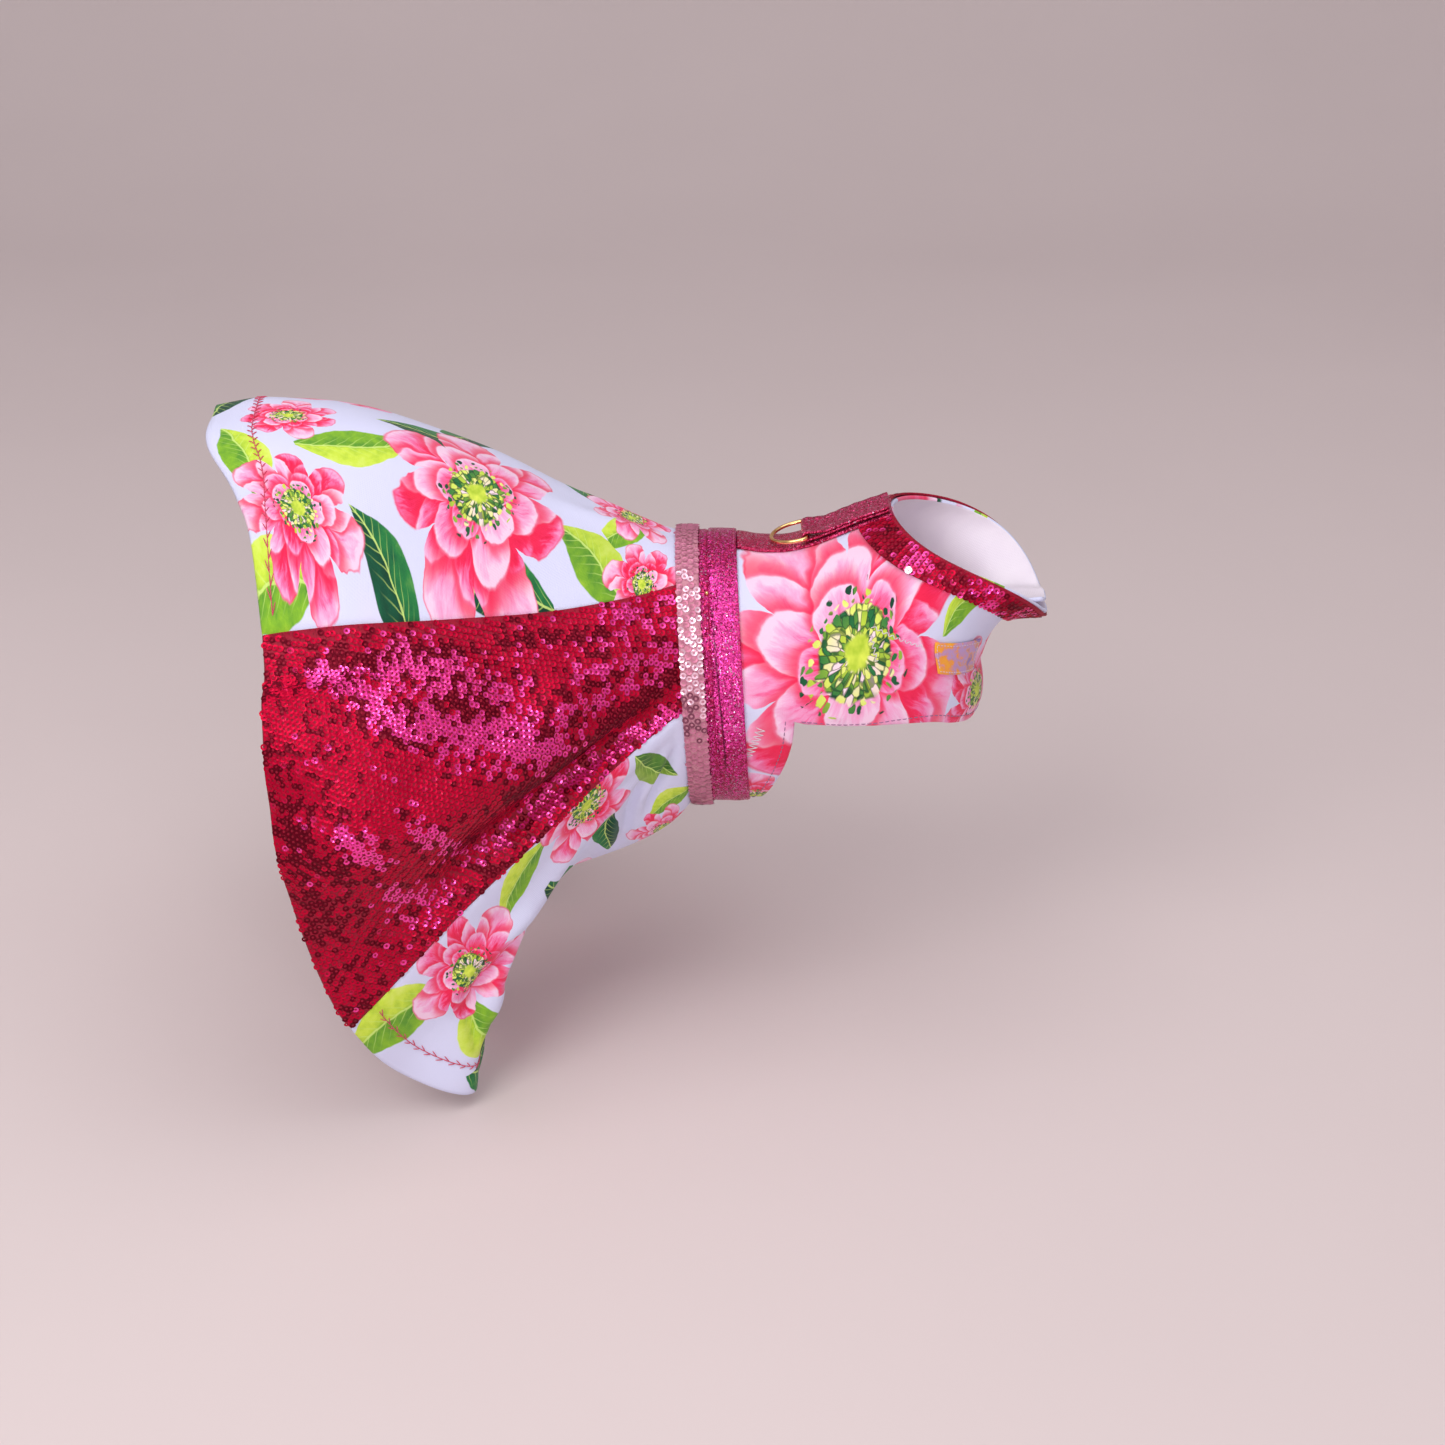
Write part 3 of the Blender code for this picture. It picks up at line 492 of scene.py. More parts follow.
def new_mesh(name, vertices, faces, materials, indices=None, uv=None, smooth=True):
    mesh = bpy.data.meshes.new(name)
    mesh.from_pydata(vertices.tolist(), [], faces.tolist())
    for material in materials:
        mesh.materials.append(material)
    if indices is not None:
        mesh.polygons.foreach_set("material_index", np.asarray(indices, np.int32))
    mesh.polygons.foreach_set("use_smooth", np.full(len(mesh.polygons), smooth))
    if uv is not None:
        loops = np.empty(len(mesh.loops), np.int32)
        mesh.loops.foreach_get("vertex_index", loops)
        mesh.uv_layers.new(name="flat_pattern").data.foreach_set("uv", uv[loops].astype(np.float32).ravel())
    mesh.update()
    obj = bpy.data.objects.new(name, mesh)
    bpy.context.scene.collection.objects.link(obj)
    return obj


def add_piece(obj, body="dress", replaces=()):
    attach(obj, body)
    if replaces:
        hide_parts(*replaces)
    return obj


def vertex_normals(points, faces):
    corner = points[faces]
    cross = np.cross(corner[:, 2] - corner[:, 0], corner[:, 3] - corner[:, 1])
    normals = np.zeros_like(points)
    for k in range(4):
        np.add.at(normals, faces[:, k], cross)
    return unit(normals)


def shell(name, points, faces, uv, wall, materials):
    """A sheet with two faces and a rounded edge, round the middle layer that the points give."""
    points, uv = points.reshape(-1, 3), uv.reshape(-1, 2)
    count = len(points)
    normals = vertex_normals(points, faces)
    a, b = faces.ravel(), np.roll(faces, -1, axis=1).ravel()
    open_edge = ~np.isin(a * count + b, b * count + a)
    a, b = a[open_edge], b[open_edge]
    away = np.zeros_like(points)
    side = unit(np.cross(points[b] - points[a], normals[a]))
    np.add.at(away, a, side)
    np.add.at(away, b, side)
    rim = np.unique(a)
    place = np.zeros(count, int)
    place[rim] = np.arange(len(rim)) + 2 * count
    half = (np.broadcast_to(wall, count) / 2)[:, None]
    lips = points[rim] + unit(away[rim]) * half[rim] * 2 * EDGE_ROUNDING
    vertices = in_row(np.concatenate([points + normals * half, points - normals * half, lips]))
    rim_faces = np.concatenate([
        np.stack([b, a, place[a], place[b]], axis=1),
        np.stack([place[b], place[a], a + count, b + count], axis=1),
    ])
    every = np.concatenate([faces, faces[:, ::-1] + count, rim_faces])
    inner = min(1, len(materials) - 1)
    indices = np.concatenate([np.zeros(len(faces)), np.full(len(faces), inner), np.zeros(len(rim_faces))])
    return new_mesh(name, vertices, every, materials, indices, np.concatenate([uv, uv, uv[rim]]))


def sequins(
    name, frames, radius, hole, material, seed, painted_gleam,
    tilt_deg=SEQUIN_TILT_DEG, patch=0.030, missing=0.0, shingle_deg=0.0,
):
    """Round cupped sequins with a hole, each tilted a little, and alike where they lie close together.

    Frames are their centres, normals and forward directions. They hang from their upper edge, so each leans
    up by shingle_deg. Gleam gives each one a painted reflection, from -1 for painted shade to 1 for a
    painted highlight.
    """
    rng = np.random.default_rng(seed)
    keep = rng.uniform(size=len(painted_gleam)) >= missing
    centres, normals, forward = (part[keep] for part in frames)
    painted_gleam = painted_gleam[keep]
    count = len(centres)
    across = unit(np.cross(normals, forward))
    forward = np.cross(across, normals)
    lean = [wobble(centres, patch, seed + k) + 0.45 * rng.normal(size=count) for k in (1, 2)]
    lean = np.stack(lean, axis=1) * math.radians(tilt_deg)
    lift = np.array([0.0, 0.0, math.tan(math.radians(shingle_deg))])
    up = unit(normals + across * lean[:, :1] + forward * lean[:, 1:] + lift)
    side = unit(np.cross(up, forward))
    ahead = np.cross(side, up)
    centres = centres + up * rng.uniform(-0.00008, 0.00016, size=(count, 1))
    turns = np.linspace(0, 2 * math.pi, SEQUIN_SIDES, endpoint=False)[None, :, None]
    spoke = np.cos(turns) * side[:, None] + np.sin(turns) * ahead[:, None]
    outer = centres[:, None] + spoke * (radius * rng.uniform(0.94, 1.06, size=(count, 1, 1)))
    inner = centres[:, None] + spoke * hole - up[:, None] * radius * 0.13
    vertices = in_row(np.concatenate([outer, inner], axis=1).reshape(-1, 3))
    faces = repeated(tube_faces(2, SEQUIN_SIDES), count, 2 * SEQUIN_SIDES)
    obj = new_mesh(name, vertices, faces, [material], smooth=False)
    # Each sequin's painted reflection, stored on its faces for the foil's colour to follow
    look = obj.data.attributes.new("painted_gleam", "FLOAT", "FACE")
    look.data.foreach_set("value", np.repeat(np.clip(painted_gleam, -1.0, 1.0), SEQUIN_SIDES).astype(np.float32))
    return obj


def tubes(name, starts, ends, up, radius, material):
    """Short stitches from starts to ends, each an arched thread with its ends in the cloth."""
    sides, rings = 6, 5
    along = unit(ends - starts)
    across = np.cross(along, up)
    turns = np.linspace(0, 2 * math.pi, sides, endpoint=False)[None, :, None]
    spokes = np.cos(turns) * across[:, None] + np.sin(turns) * up[:, None]
    vertices = []
    for k in range(rings):
        s = k / (rings - 1)
        rise = math.sin(math.pi * s) ** 0.5 * 1.4 - 0.9
        middle = starts + (ends - starts) * s + up * radius * rise
        thick = radius * (1.0 if 0 < k < rings - 1 else 0.6)
        vertices.append(middle[:, None] + spokes * thick)
    vertices = np.stack(vertices, axis=1).reshape(-1, 3)
    faces = repeated(tube_faces(rings, sides), len(starts), sides * rings)
    return new_mesh(name, in_row(vertices), faces, [material])


# Shader nodes


class Wire:
    """An output of a shader node that ordinary arithmetic works on."""

    def __init__(self, tree, socket):
        self.tree = tree
        self.socket = socket

    def op(self, kind, *others, clamp=False):
        node = self.tree.nodes.new("ShaderNodeMath")
        node.operation = kind
        node.use_clamp = clamp
        for spot, value in zip(node.inputs, (self, *others)):
            feed(self.tree, value, spot)
        return Wire(self.tree, node.outputs[0])

    def __add__(self, other):
        return self.op("ADD", other)

    def __sub__(self, other):
        return self.op("SUBTRACT", other)

    def __mul__(self, other):
        return self.op("MULTIPLY", other)

    def __truediv__(self, other):
        return self.op("DIVIDE", other)

    def over(self, low, high):
        """0 up to low and 1 from high, smooth between. High may be the smaller."""
        node = self.tree.nodes.new("ShaderNodeMapRange")
        node.interpolation_type = "SMOOTHSTEP"
        for spot, value in zip(("Value", "From Min", "From Max"), (self, low, high)):
            feed(self.tree, value, node.inputs[spot])
        return Wire(self.tree, node.outputs[0])


def feed(tree, value, spot):
    if isinstance(value, Wire):
        tree.links.new(value.socket, spot)
    else:
        spot.default_value = value


def place_node(tree, kind, inputs=None, output=0, **settings):
    node = tree.nodes.new(kind)
    for name, value in settings.items():
        setattr(node, name, value)
    for name, value in (inputs or {}).items():
        feed(tree, value, node.inputs[name])
    return Wire(tree, node.outputs[output])


def vector_math(tree, kind, *values, output=0):
    return place_node(tree, "ShaderNodeVectorMath", dict(enumerate(values)), output, operation=kind)


def combine(tree, x, y, z):
    return place_node(tree, "ShaderNodeCombineXYZ", {0: x, 1: y, 2: z})


def separate(tree, value, kind="ShaderNodeSeparateXYZ"):
    """The three parts of a vector, or of a colour."""
    node = tree.nodes.new(kind)
    feed(tree, value, node.inputs[0])
    return [Wire(tree, socket) for socket in node.outputs]


def object_place(tree):
    return place_node(tree, "ShaderNodeTexCoord", output=3)


def mix_colour(tree, share, a, b):
    node = tree.nodes.new("ShaderNodeMix")
    node.data_type = "RGBA"
    for spot, value in zip((node.inputs[0], node.inputs[6], node.inputs[7]), (share, a, b)):
        feed(tree, value, spot)
    return Wire(tree, node.outputs[2])


def mix_vector(tree, share, a, b):
    node = tree.nodes.new("ShaderNodeMix")
    node.data_type = "VECTOR"
    for spot, value in zip((node.inputs[0], node.inputs[4], node.inputs[5]), (share, a, b)):
        feed(tree, value, spot)
    return Wire(tree, node.outputs[1])


def colour_ramp(tree, share, stops):
    node = tree.nodes.new("ShaderNodeValToRGB")
    elements = node.color_ramp.elements
    while len(elements) < len(stops):
        elements.new(0.5)
    for element, (place, colour) in zip(elements, stops):
        element.position = place
        element.color = colour
    feed(tree, share, node.inputs[0])
    return Wire(tree, node.outputs[0])


def noise(tree, vector, scale, detail=2.0, roughness=0.5):
    inputs = {"Vector": vector, "Scale": scale, "Detail": detail, "Roughness": roughness}
    return place_node(tree, "ShaderNodeTexNoise", inputs)


def material(name, **sockets):
    """A new material with a Principled shader, and its node tree. Each socket value is set on the shader."""
    made = bpy.data.materials.new(name)
    made.use_nodes = True
    tree = made.node_tree
    shader = tree.nodes["Principled BSDF"]
    for socket, value in sockets.items():
        shader.inputs[socket.replace("_", " ")].default_value = value
    return made, tree, shader


def bump(tree, shader, height, distance, strength=1.0):
    node = tree.nodes.new("ShaderNodeBump")
    node.inputs["Strength"].default_value = strength
    node.inputs["Distance"].default_value = distance
    feed(tree, height, node.inputs["Height"])
    tree.links.new(node.outputs[0], shader.inputs["Normal"])


def flat_uv(tree):
    return place_node(tree, "ShaderNodeUVMap", uv_map="flat_pattern")


def weave(tree, uv, threads_per_m):
    """Plain weave as a height from 0 to 1."""
    scale = threads_per_m / 20.0 * math.pi
    inputs = {"Vector": uv, "Scale": scale, "Distortion": 0.6, "Detail": 1.0, "Detail Scale": 2.0}
    along, across = (
        place_node(tree, "ShaderNodeTexWave", inputs, output=1, bands_direction=direction)
        for direction in ("X", "Y")
    )
    return along * across


# The print: blossoms and leaves

# Rings of petals: how many, how far they reach, and how far they are turned
PETAL_RINGS = ((7, 1.00, 0.10), (7, 0.82, 0.60), (6, 0.60, 0.25), (5, 0.42, 0.80))
PETAL_STOPS = ramp_stops(
    (0.00, 0.86, 0.05, 0.25),
    (0.26, 0.94, 0.17, 0.38),
    (0.35, 0.94, 0.34, 0.54),
    (0.50, 0.94, 0.46, 0.67),
    (0.60, 0.94, 0.58, 0.76),
    (0.82, 0.94, 0.69, 0.84),
    (1.00, 0.95, 0.80, 0.90),
)
STAMEN_STOPS = ramp_stops(
    (0.00, 0.04, 0.26, 0.18),
    (0.22, 0.14, 0.46, 0.24),
    (0.40, 0.42, 0.62, 0.22),
    (0.58, 0.74, 0.84, 0.26),
    (0.76, 0.88, 0.93, 0.45),
    (1.00, 0.97, 0.86, 0.90),
)
HEART_STOPS = ramp_stops((0.3, 0.62, 0.76, 0.16), (0.7, 0.86, 0.92, 0.34))
LIME_STOPS = ramp_stops(
    (0.0, 0.24, 0.52, 0.18), (0.32, 0.52, 0.72, 0.17), (0.60, 0.78, 0.88, 0.27), (1.0, 0.90, 0.95, 0.55)
)
DEEP_STOPS = ramp_stops(
    (0.0, 0.02, 0.20, 0.14), (0.35, 0.04, 0.33, 0.22), (0.65, 0.14, 0.48, 0.24), (1.0, 0.45, 0.68, 0.32)
)
LABEL_STOPS = ramp_stops(
    (0.0, 0.95, 0.66, 0.10), (0.26, 0.94, 0.60, 0.20), (0.40, 0.78, 0.56, 0.68),
    (0.62, 0.72, 0.58, 0.80), (0.80, 0.86, 0.58, 0.42), (1.0, 0.56, 0.44, 0.70),
)
WORLD_STOPS = ramp_stops(
    (0.00, 0.60, 0.55, 0.56), (0.30, 0.66, 0.62, 0.63), (0.62, 0.90, 0.88, 0.90), (1.00, 0.98, 0.97, 0.98)
)
PETAL_OUTLINE = srgb(0.90, 0.28, 0.46)
PETAL_SHADE = srgb(0.92, 0.13, 0.31)
STAMEN_RIM = srgb(0.05, 0.22, 0.15)
VEIN = srgb(0.78, 0.90, 0.48)
MIDRIB = srgb(0.80, 0.91, 0.50)
GROUND = srgb(0.83, 0.84, 0.95)

# Each row is one motif: its place in two numbers, its radius in metres and its turn in degrees. Places on
# the skirt's top panel are waist angle and share of the length.
SKIRT_FLOWERS = (
    (16.0, 0.47, 0.052, 75.0),
    (24.0, 0.87, 0.034, 200.0),
    (5.0, 0.85, 0.024, 140.0),
    (30.0, 0.08, 0.022, 10.0),
    (-4.0, 0.12, 0.026, 60.0),
    (-19.0, 0.80, 0.050, 110.0),
    (-29.0, 0.30, 0.024, 10.0),
)
SKIRT_LEAVES = (
    (12.0, 0.72, 0.028, 250.0),
    (30.0, 0.68, 0.026, 130.0),
    (15.0, 0.95, 0.026, 165.0),
    (31.0, 0.40, 0.026, 75.0),
    (24.0, 0.20, 0.026, 110.0),
    (12.0, 0.14, 0.020, 40.0),
    (2.0, 0.56, 0.028, 95.0),
    (31.0, 0.97, 0.024, 62.0),
    (-5.0, 0.97, 0.026, 20.0),
    (-10.0, 0.50, 0.028, 30.0),
    (-30.0, 0.56, 0.024, 200.0),
    (-12.0, 0.24, 0.020, 330.0),
)

# Places on the lower panels are metres round from the side seam, below 0 on the left, and down the panel
LOWER_FLOWERS = (
    (0.006, 0.062, 0.034, 80.0),
    (0.026, 0.150, 0.036, 140.0),
    (0.076, 0.108, 0.032, 10.0),
    (0.120, 0.180, 0.046, 250.0),
    (0.070, 0.030, 0.026, 30.0),
    (-0.040, 0.140, 0.044, 210.0),
    (-0.030, 0.050, 0.030, 120.0),
    (-0.120, 0.170, 0.046, 60.0),
    (-0.085, 0.085, 0.030, 30.0),
)
LOWER_LEAVES = (
    (0.014, 0.196, 0.034, 100.0),
    (0.062, 0.178, 0.030, 30.0),
    (0.048, 0.100, 0.026, 190.0),
    (0.012, 0.106, 0.022, 60.0),
    (0.044, 0.058, 0.020, 20.0),
    (0.018, 0.020, 0.020, 320.0),
    (0.048, 0.016, 0.018, 80.0),
    (0.085, 0.205, 0.028, 10.0),
    (0.110, 0.128, 0.028, 120.0),
    (-0.014, 0.190, 0.032, 250.0),
    (-0.070, 0.190, 0.030, 140.0),
    (-0.016, 0.092, 0.024, 30.0),
    (-0.060, 0.110, 0.026, 350.0),
    (-0.066, 0.026, 0.020, 75.0),
)

# Places on the bodice are metres forward, and round from the spine with the right side below 0
BODICE_FLOWERS = (
    (0.080, -0.068, 0.086, 30.0),
    (0.152, -0.130, 0.040, 150.0),
    (0.030, -0.144, 0.032, 250.0),
    (0.076, 0.072, 0.084, 80.0),
    (0.148, 0.126, 0.042, 210.0),
    (0.030, 0.146, 0.032, 20.0),
)
BODICE_LEAVES = (
    (0.014, -0.026, 0.022, 300.0),
    (0.132, -0.026, 0.026, 150.0),
    (0.160, -0.070, 0.024, 20.0),
    (0.018, -0.102, 0.026, 78.0),
    (0.088, -0.152, 0.026, 190.0),
    (0.014, 0.028, 0.022, 130.0),
    (0.128, 0.034, 0.026, 220.0),
    (0.158, 0.074, 0.022, 330.0),
    (0.016, 0.104, 0.026, 100.0),
    (0.012, -0.176, 0.018, 100.0),
    (0.012, 0.174, 0.018, 10.0),
)


def motif_group(name, paint):
    """Node group of a motif: its colour at a point of its unit circle, and where it covers the cloth."""
    tree = bpy.data.node_groups.new(name, "ShaderNodeTree")
    tree.interface.new_socket("Place", in_out="INPUT", socket_type="NodeSocketVector")
    tree.interface.new_socket("Seed", in_out="INPUT", socket_type="NodeSocketFloat")
    tree.interface.new_socket("Colour", in_out="OUTPUT", socket_type="NodeSocketColor")
    tree.interface.new_socket("Cover", in_out="OUTPUT", socket_type="NodeSocketFloat")
    entry, leave = tree.nodes.new("NodeGroupInput"), tree.nodes.new("NodeGroupOutput")
    painted = paint(tree, Wire(tree, entry.outputs[0]), Wire(tree, entry.outputs[1]))
    for value, spot in zip(painted, leave.inputs):
        feed(tree, value, spot)
    return tree


def petal_ring(tree, petals, reach, phase, turn, radius, seed, soft):
    """(colour, share of the way along its petals) of one ring of petals."""
    step = turn * float(petals) + (seed * 3.7 + phase) + soft * 0.45 + radius * 0.25
    middle = (step.op("FRACT") - 0.5).op("ABSOLUTE") * 2.0
    number = step.op("FLOOR").op("MODULO", float(petals)) + seed * 13.0 + reach
    chance = place_node(tree, "ShaderNodeTexWhiteNoise", {"W": number}, noise_dimensions="1D")
    edge = (chance * 0.22 + 0.78) * reach * (middle.op("POWER", 2.4) * -0.40 + 1.0)
    along = radius / edge
    streaks = noise(tree, combine(tree, step * 3.0, radius * 1.6, seed), 3.2, 4.0, 0.65) - 0.5
    cleft = middle.over(0.62, 1.0) * along.over(1.05, 0.30)
    tone = along.op("POWER", 1.2) * 0.70 + streaks * 1.15 - cleft * 0.85 + (chance - 0.5) * 0.80 - 0.02
    lit = along.over(0.80, 0.98) * middle.over(1.0, 0.4) * 0.25
    petal = colour_ramp(tree, tone + lit, PETAL_STOPS)
    return mix_colour(tree, along.over(0.945, 0.975) * 0.8, petal, PETAL_OUTLINE), along


def stamens(tree, shifted, turn, radius, seed, soft, fine):
    """(colour, cover) of the beads round a blossom's middle, and of its heart."""
    spread = combine(tree, turn * 34.0 + soft * 1.5, radius * 20.0 + fine * 1.5, seed)
    bead = {"Vector": spread, "Scale": 1.0, "Randomness": 0.75}
    chance = place_node(tree, "ShaderNodeTexVoronoi", bead, output=1)
    pick = place_node(tree, "ShaderNodeSeparateColor", {0: chance})
    rim = place_node(tree, "ShaderNodeTexVoronoi", bead, feature="DISTANCE_TO_EDGE")
    from_middle = place_node(tree, "ShaderNodeTexVoronoi", bead)
    colour = colour_ramp(tree, pick + radius * -1.3 + 0.30, STAMEN_STOPS)
    colour = mix_colour(tree, rim.over(0.12, 0.04) * 0.7, colour, STAMEN_RIM)
    heart = colour_ramp(tree, noise(tree, shifted, 12.0, 2.0), HEART_STOPS)
    colour = mix_colour(tree, radius.over(0.10, 0.07), colour, heart)
    beads = from_middle.over(0.48, 0.40) * (radius + pick * 0.09).over(0.375, 0.365)
    return colour, beads.op("MAXIMUM", radius.over(0.245, 0.225))


def blossom(tree, place, seed):
    """(colour, cover) of a blossom: rings of petals, the outermost first, and stamens over them."""
    x, y, _ = separate(tree, place)
    shifted = vector_math(tree, "ADD", place, combine(tree, seed * 7.0, seed * 3.0, seed))
    soft = noise(tree, shifted, 2.4, 3.0) - 0.5
    fine = noise(tree, shifted, 9.0, 3.0) - 0.5
    radius = vector_math(tree, "LENGTH", place, output=1) + soft * 0.10 + fine * 0.05
    turn = y.op("ARCTAN2", x) / (2 * math.pi) + 0.5
    colour = cover = None
    for petals, reach, phase in PETAL_RINGS:
        petal, along = petal_ring(tree, petals, reach, phase, turn, radius, seed, soft)
        inside = along.over(1.0, 0.965)
        if colour is None:
            colour, cover = petal, inside
        else:
            colour = mix_colour(tree, along.over(1.30, 1.0) * 0.8, colour, PETAL_SHADE)
            colour = mix_colour(tree, inside, colour, petal)
    middle, middle_cover = stamens(tree, shifted, turn, radius, seed, soft, fine)
    return mix_colour(tree, middle_cover, colour, middle), cover


def leaf(tree, place, seed):
    """(colour, cover) of a leaf along x, lime or deep green with its seed."""
    shifted = vector_math(tree, "ADD", place, combine(tree, seed * 5.0, seed * 9.0, seed))
    soft = noise(tree, shifted, 2.6, 2.0) - 0.5
    x, y, _ = separate(tree, place)
    y = y + soft * 0.12 + (x * x) * 0.16 - 0.08
    side = y.op("ABSOLUTE")
    width = (x.op("ABSOLUTE").op("POWER", 1.7) * -1.0 + 1.0) * 0.42 * (x * -0.25 + 1.0)
    painted = noise(tree, shifted, 4.5, 4.0, 0.6) - 0.5
    tone = y.over(-0.05, 0.05) * 0.38 + painted * 0.7 + side * 0.5 + 0.12
    lime, deep = colour_ramp(tree, tone, LIME_STOPS), colour_ramp(tree, tone, DEEP_STOPS)
    colour = mix_colour(tree, seed.over(0.45, 0.55), lime, deep)
    veins = ((x * 1.1 - side * 1.5) * 30.0).op("SINE").over(0.82, 0.98) * side.over(0.30, 0.02) * 0.5
    colour = mix_colour(tree, veins, colour, VEIN)
    colour = mix_colour(tree, side.over(0.022, 0.008) * 0.8, colour, MIDRIB)
    return colour, (width - side).over(0.0, 0.025)


def nearest_motif(tree, uv, motifs):
    """(place, seed) of the motif that is nearest in its own radii, in its circle's own coordinates."""
    place, seed, nearest = combine(tree, 5.0, 5.0, 0.0), None, 1.12
    for number, (x, y, radius, turn) in enumerate(motifs):
        local = place_node(
            tree, "ShaderNodeMapping",
            {
                "Vector": uv, "Location": (x, y, 0.0), "Scale": (radius, radius, radius),
                "Rotation": (0.0, 0.0, math.radians(turn)),
            },
            vector_type="TEXTURE",
        )
        length = vector_math(tree, "LENGTH", local, output=1)
        within = length.op("LESS_THAN", nearest)
        nearest = length.op("MINIMUM", nearest)
        place = mix_vector(tree, within, place, local)
        chance = (number * 0.618) % 1.0
        seed = within * chance if seed is None else seed + (seed * -1.0 + chance) * within
    return place, seed


def print_material(name, flowers, leaves, groups, faded=0.0):
    """Printed cotton. Faded is how pale its colours are, where they show through on the back."""
    made, tree, shader = material(name, Roughness=0.82, Sheen_Weight=0.15, Specular_IOR_Level=0.25)
    uv = flat_uv(tree)
    wash = noise(tree, uv, 14.0, 3.0)
    colour = mix_colour(tree, wash.over(0.55, 0.85) * 0.35, GROUND, srgb(0.95, 0.86, 0.93))
    for motifs, group in ((leaves, groups["leaf"]), (flowers, groups["blossom"])):
        node = tree.nodes.new("ShaderNodeGroup")
        node.node_tree = group
        for value, spot in zip(nearest_motif(tree, uv, motifs), node.inputs):
            feed(tree, value, spot)
        motif, cover = (Wire(tree, socket) for socket in node.outputs)
        colour = mix_colour(tree, cover, colour, motif)
    if faded:
        colour = mix_colour(tree, faded, colour, srgb(0.90, 0.89, 0.94))
    feed(tree, colour, shader.inputs["Base Color"])
    bump(tree, shader, weave(tree, uv, 2600.0) + noise(tree, uv, 900.0, 1.0) * 0.5, 0.00008, 0.6)
    return made


def skirt_motifs(top_rows, lower_rows):
    """The skirt's motifs, with their places in metres in its flat patterns."""
    top = [
        (*map(float, pattern(share, angle)), radius, turn)
        for angle, share, radius, turn in top_rows
    ]
    return top + [(x + math.copysign(LOWER_PATTERN_START, x), *rest) for x, *rest in lower_rows]


def sequin_material(name, dark, plain, bright, metallic=0.45):
    """Metallised film. Its colour is painted from dark to bright by each sequin's gleam: dark is a painted
    shade, plain the film's own colour and bright a painted highlight.
    """
    made, tree, shader = material(name, Metallic=metallic, Coat_Roughness=0.10, Specular_IOR_Level=0.15)
    painted_gleam = place_node(tree, "ShaderNodeAttribute", output=2, attribute_name="painted_gleam")
    feed(tree, painted_gleam.over(0.0, 1.0) * 0.6, shader.inputs["Coat Weight"])
    scuffs = noise(tree, object_place(tree), 900.0, 2.0)
    # Colours from painted shade through the film's own colour to a painted highlight
    lighter_painted_shade = tuple(d + (p - d) * 0.8 for d, p in zip(dark, plain))
    shades = ((0.0, dark), (0.32, lighter_painted_shade), (0.62, plain), (1.0, bright))
    colour = colour_ramp(tree, painted_gleam * 0.5 + 0.5, shades)
    feed(tree, mix_colour(tree, scuffs * 0.25, colour, plain), shader.inputs["Base Color"])
    feed(tree, scuffs * 0.16 + painted_gleam.over(0.2, 0.9) * -0.20 + 0.36, shader.inputs["Roughness"])
    return made


def net_material(name, colour, dark):
    """Fine net that the sequins are sewn on."""
    made, tree, shader = material(name, Roughness=0.6, Specular_IOR_Level=0.25)
    uv = flat_uv(tree)
    cells = place_node(tree, "ShaderNodeTexVoronoi", {"Vector": uv, "Scale": 900.0})
    share = cells.over(0.1, 0.6) * 0.5 + noise(tree, uv, 60.0, 3.0) * 0.3
    feed(tree, mix_colour(tree, share, dark, colour), shader.inputs["Base Color"])
    bump(tree, shader, cells, 0.0002, 0.7)
    return made


def ribbon_shading(tree, uv):
    """(share of bright flakes, depth of painted shade) of the waist ribbon: a painted highlight along its
    sides, and painted shade along its crease.
    """
    along, height, _ = separate(tree, uv)
    size, across = along.op("ABSOLUTE"), height / RIBBON_WIDTH
    middle = across + size.over(0.048, 0.105) * -0.10 - 0.34
    # Painted shade along the lengthwise crease
    crease = middle.op("ABSOLUTE").over(0.055, 0.012) * size.over(0.035, 0.060) * size.over(0.120, 0.100)
    # A painted highlight along the sides of the waist
    painted_highlight_band = size.over(0.018, 0.034) * size.over(0.108, 0.082) * across.over(0.20, 0.36)
    streaks = noise(tree, combine(tree, size * 60.0, across * 9.0, 0.0), 1.0, 3.0)
    return painted_highlight_band * 0.42 + (streaks - 0.5) * 0.7, crease * 0.75


def glitter_material(name, base, bright, flake, shading=None):
    """Ribbon packed with glitter: each flake faces its own way and has its own tone, a few are painted near
    white as painted glints, and the optional shading adds painted highlight and painted shade.
    """
    made, tree, shader = material(name, Metallic=0.65, Roughness=0.26)
    uv = flat_uv(tree)
    cells = place_node(tree, "ShaderNodeTexVoronoi", {"Vector": uv, "Scale": 1.0 / flake}, output=1)
    chance, other, _ = separate(tree, cells, "ShaderNodeSeparateColor")
    extra, shade = shading(tree, uv) if shading else (0.0, 0.0)
    colour = mix_colour(tree, (chance + extra).over(0.45, 0.95), base, bright)
    # A few flakes painted near white, as painted glints
    colour = mix_colour(tree, other.over(0.955, 0.96) * 0.9, colour, srgb(1.0, 0.80, 0.93))
    # Painted shade where the shading asks for it
    colour = mix_colour(tree, shade, colour, srgb(0.28, 0.01, 0.12))
    feed(tree, colour, shader.inputs["Base Color"])
    lean = vector_math(tree, "SUBTRACT", cells, (0.5, 0.5, 0.5))
    lean = place_node(tree, "ShaderNodeVectorMath", {0: lean, "Scale": 1.1}, operation="SCALE")
    normal = place_node(tree, "ShaderNodeNewGeometry", output=1)
    turned = vector_math(tree, "NORMALIZE", vector_math(tree, "ADD", normal, lean))
    feed(tree, turned, shader.inputs["Normal"])
    return made


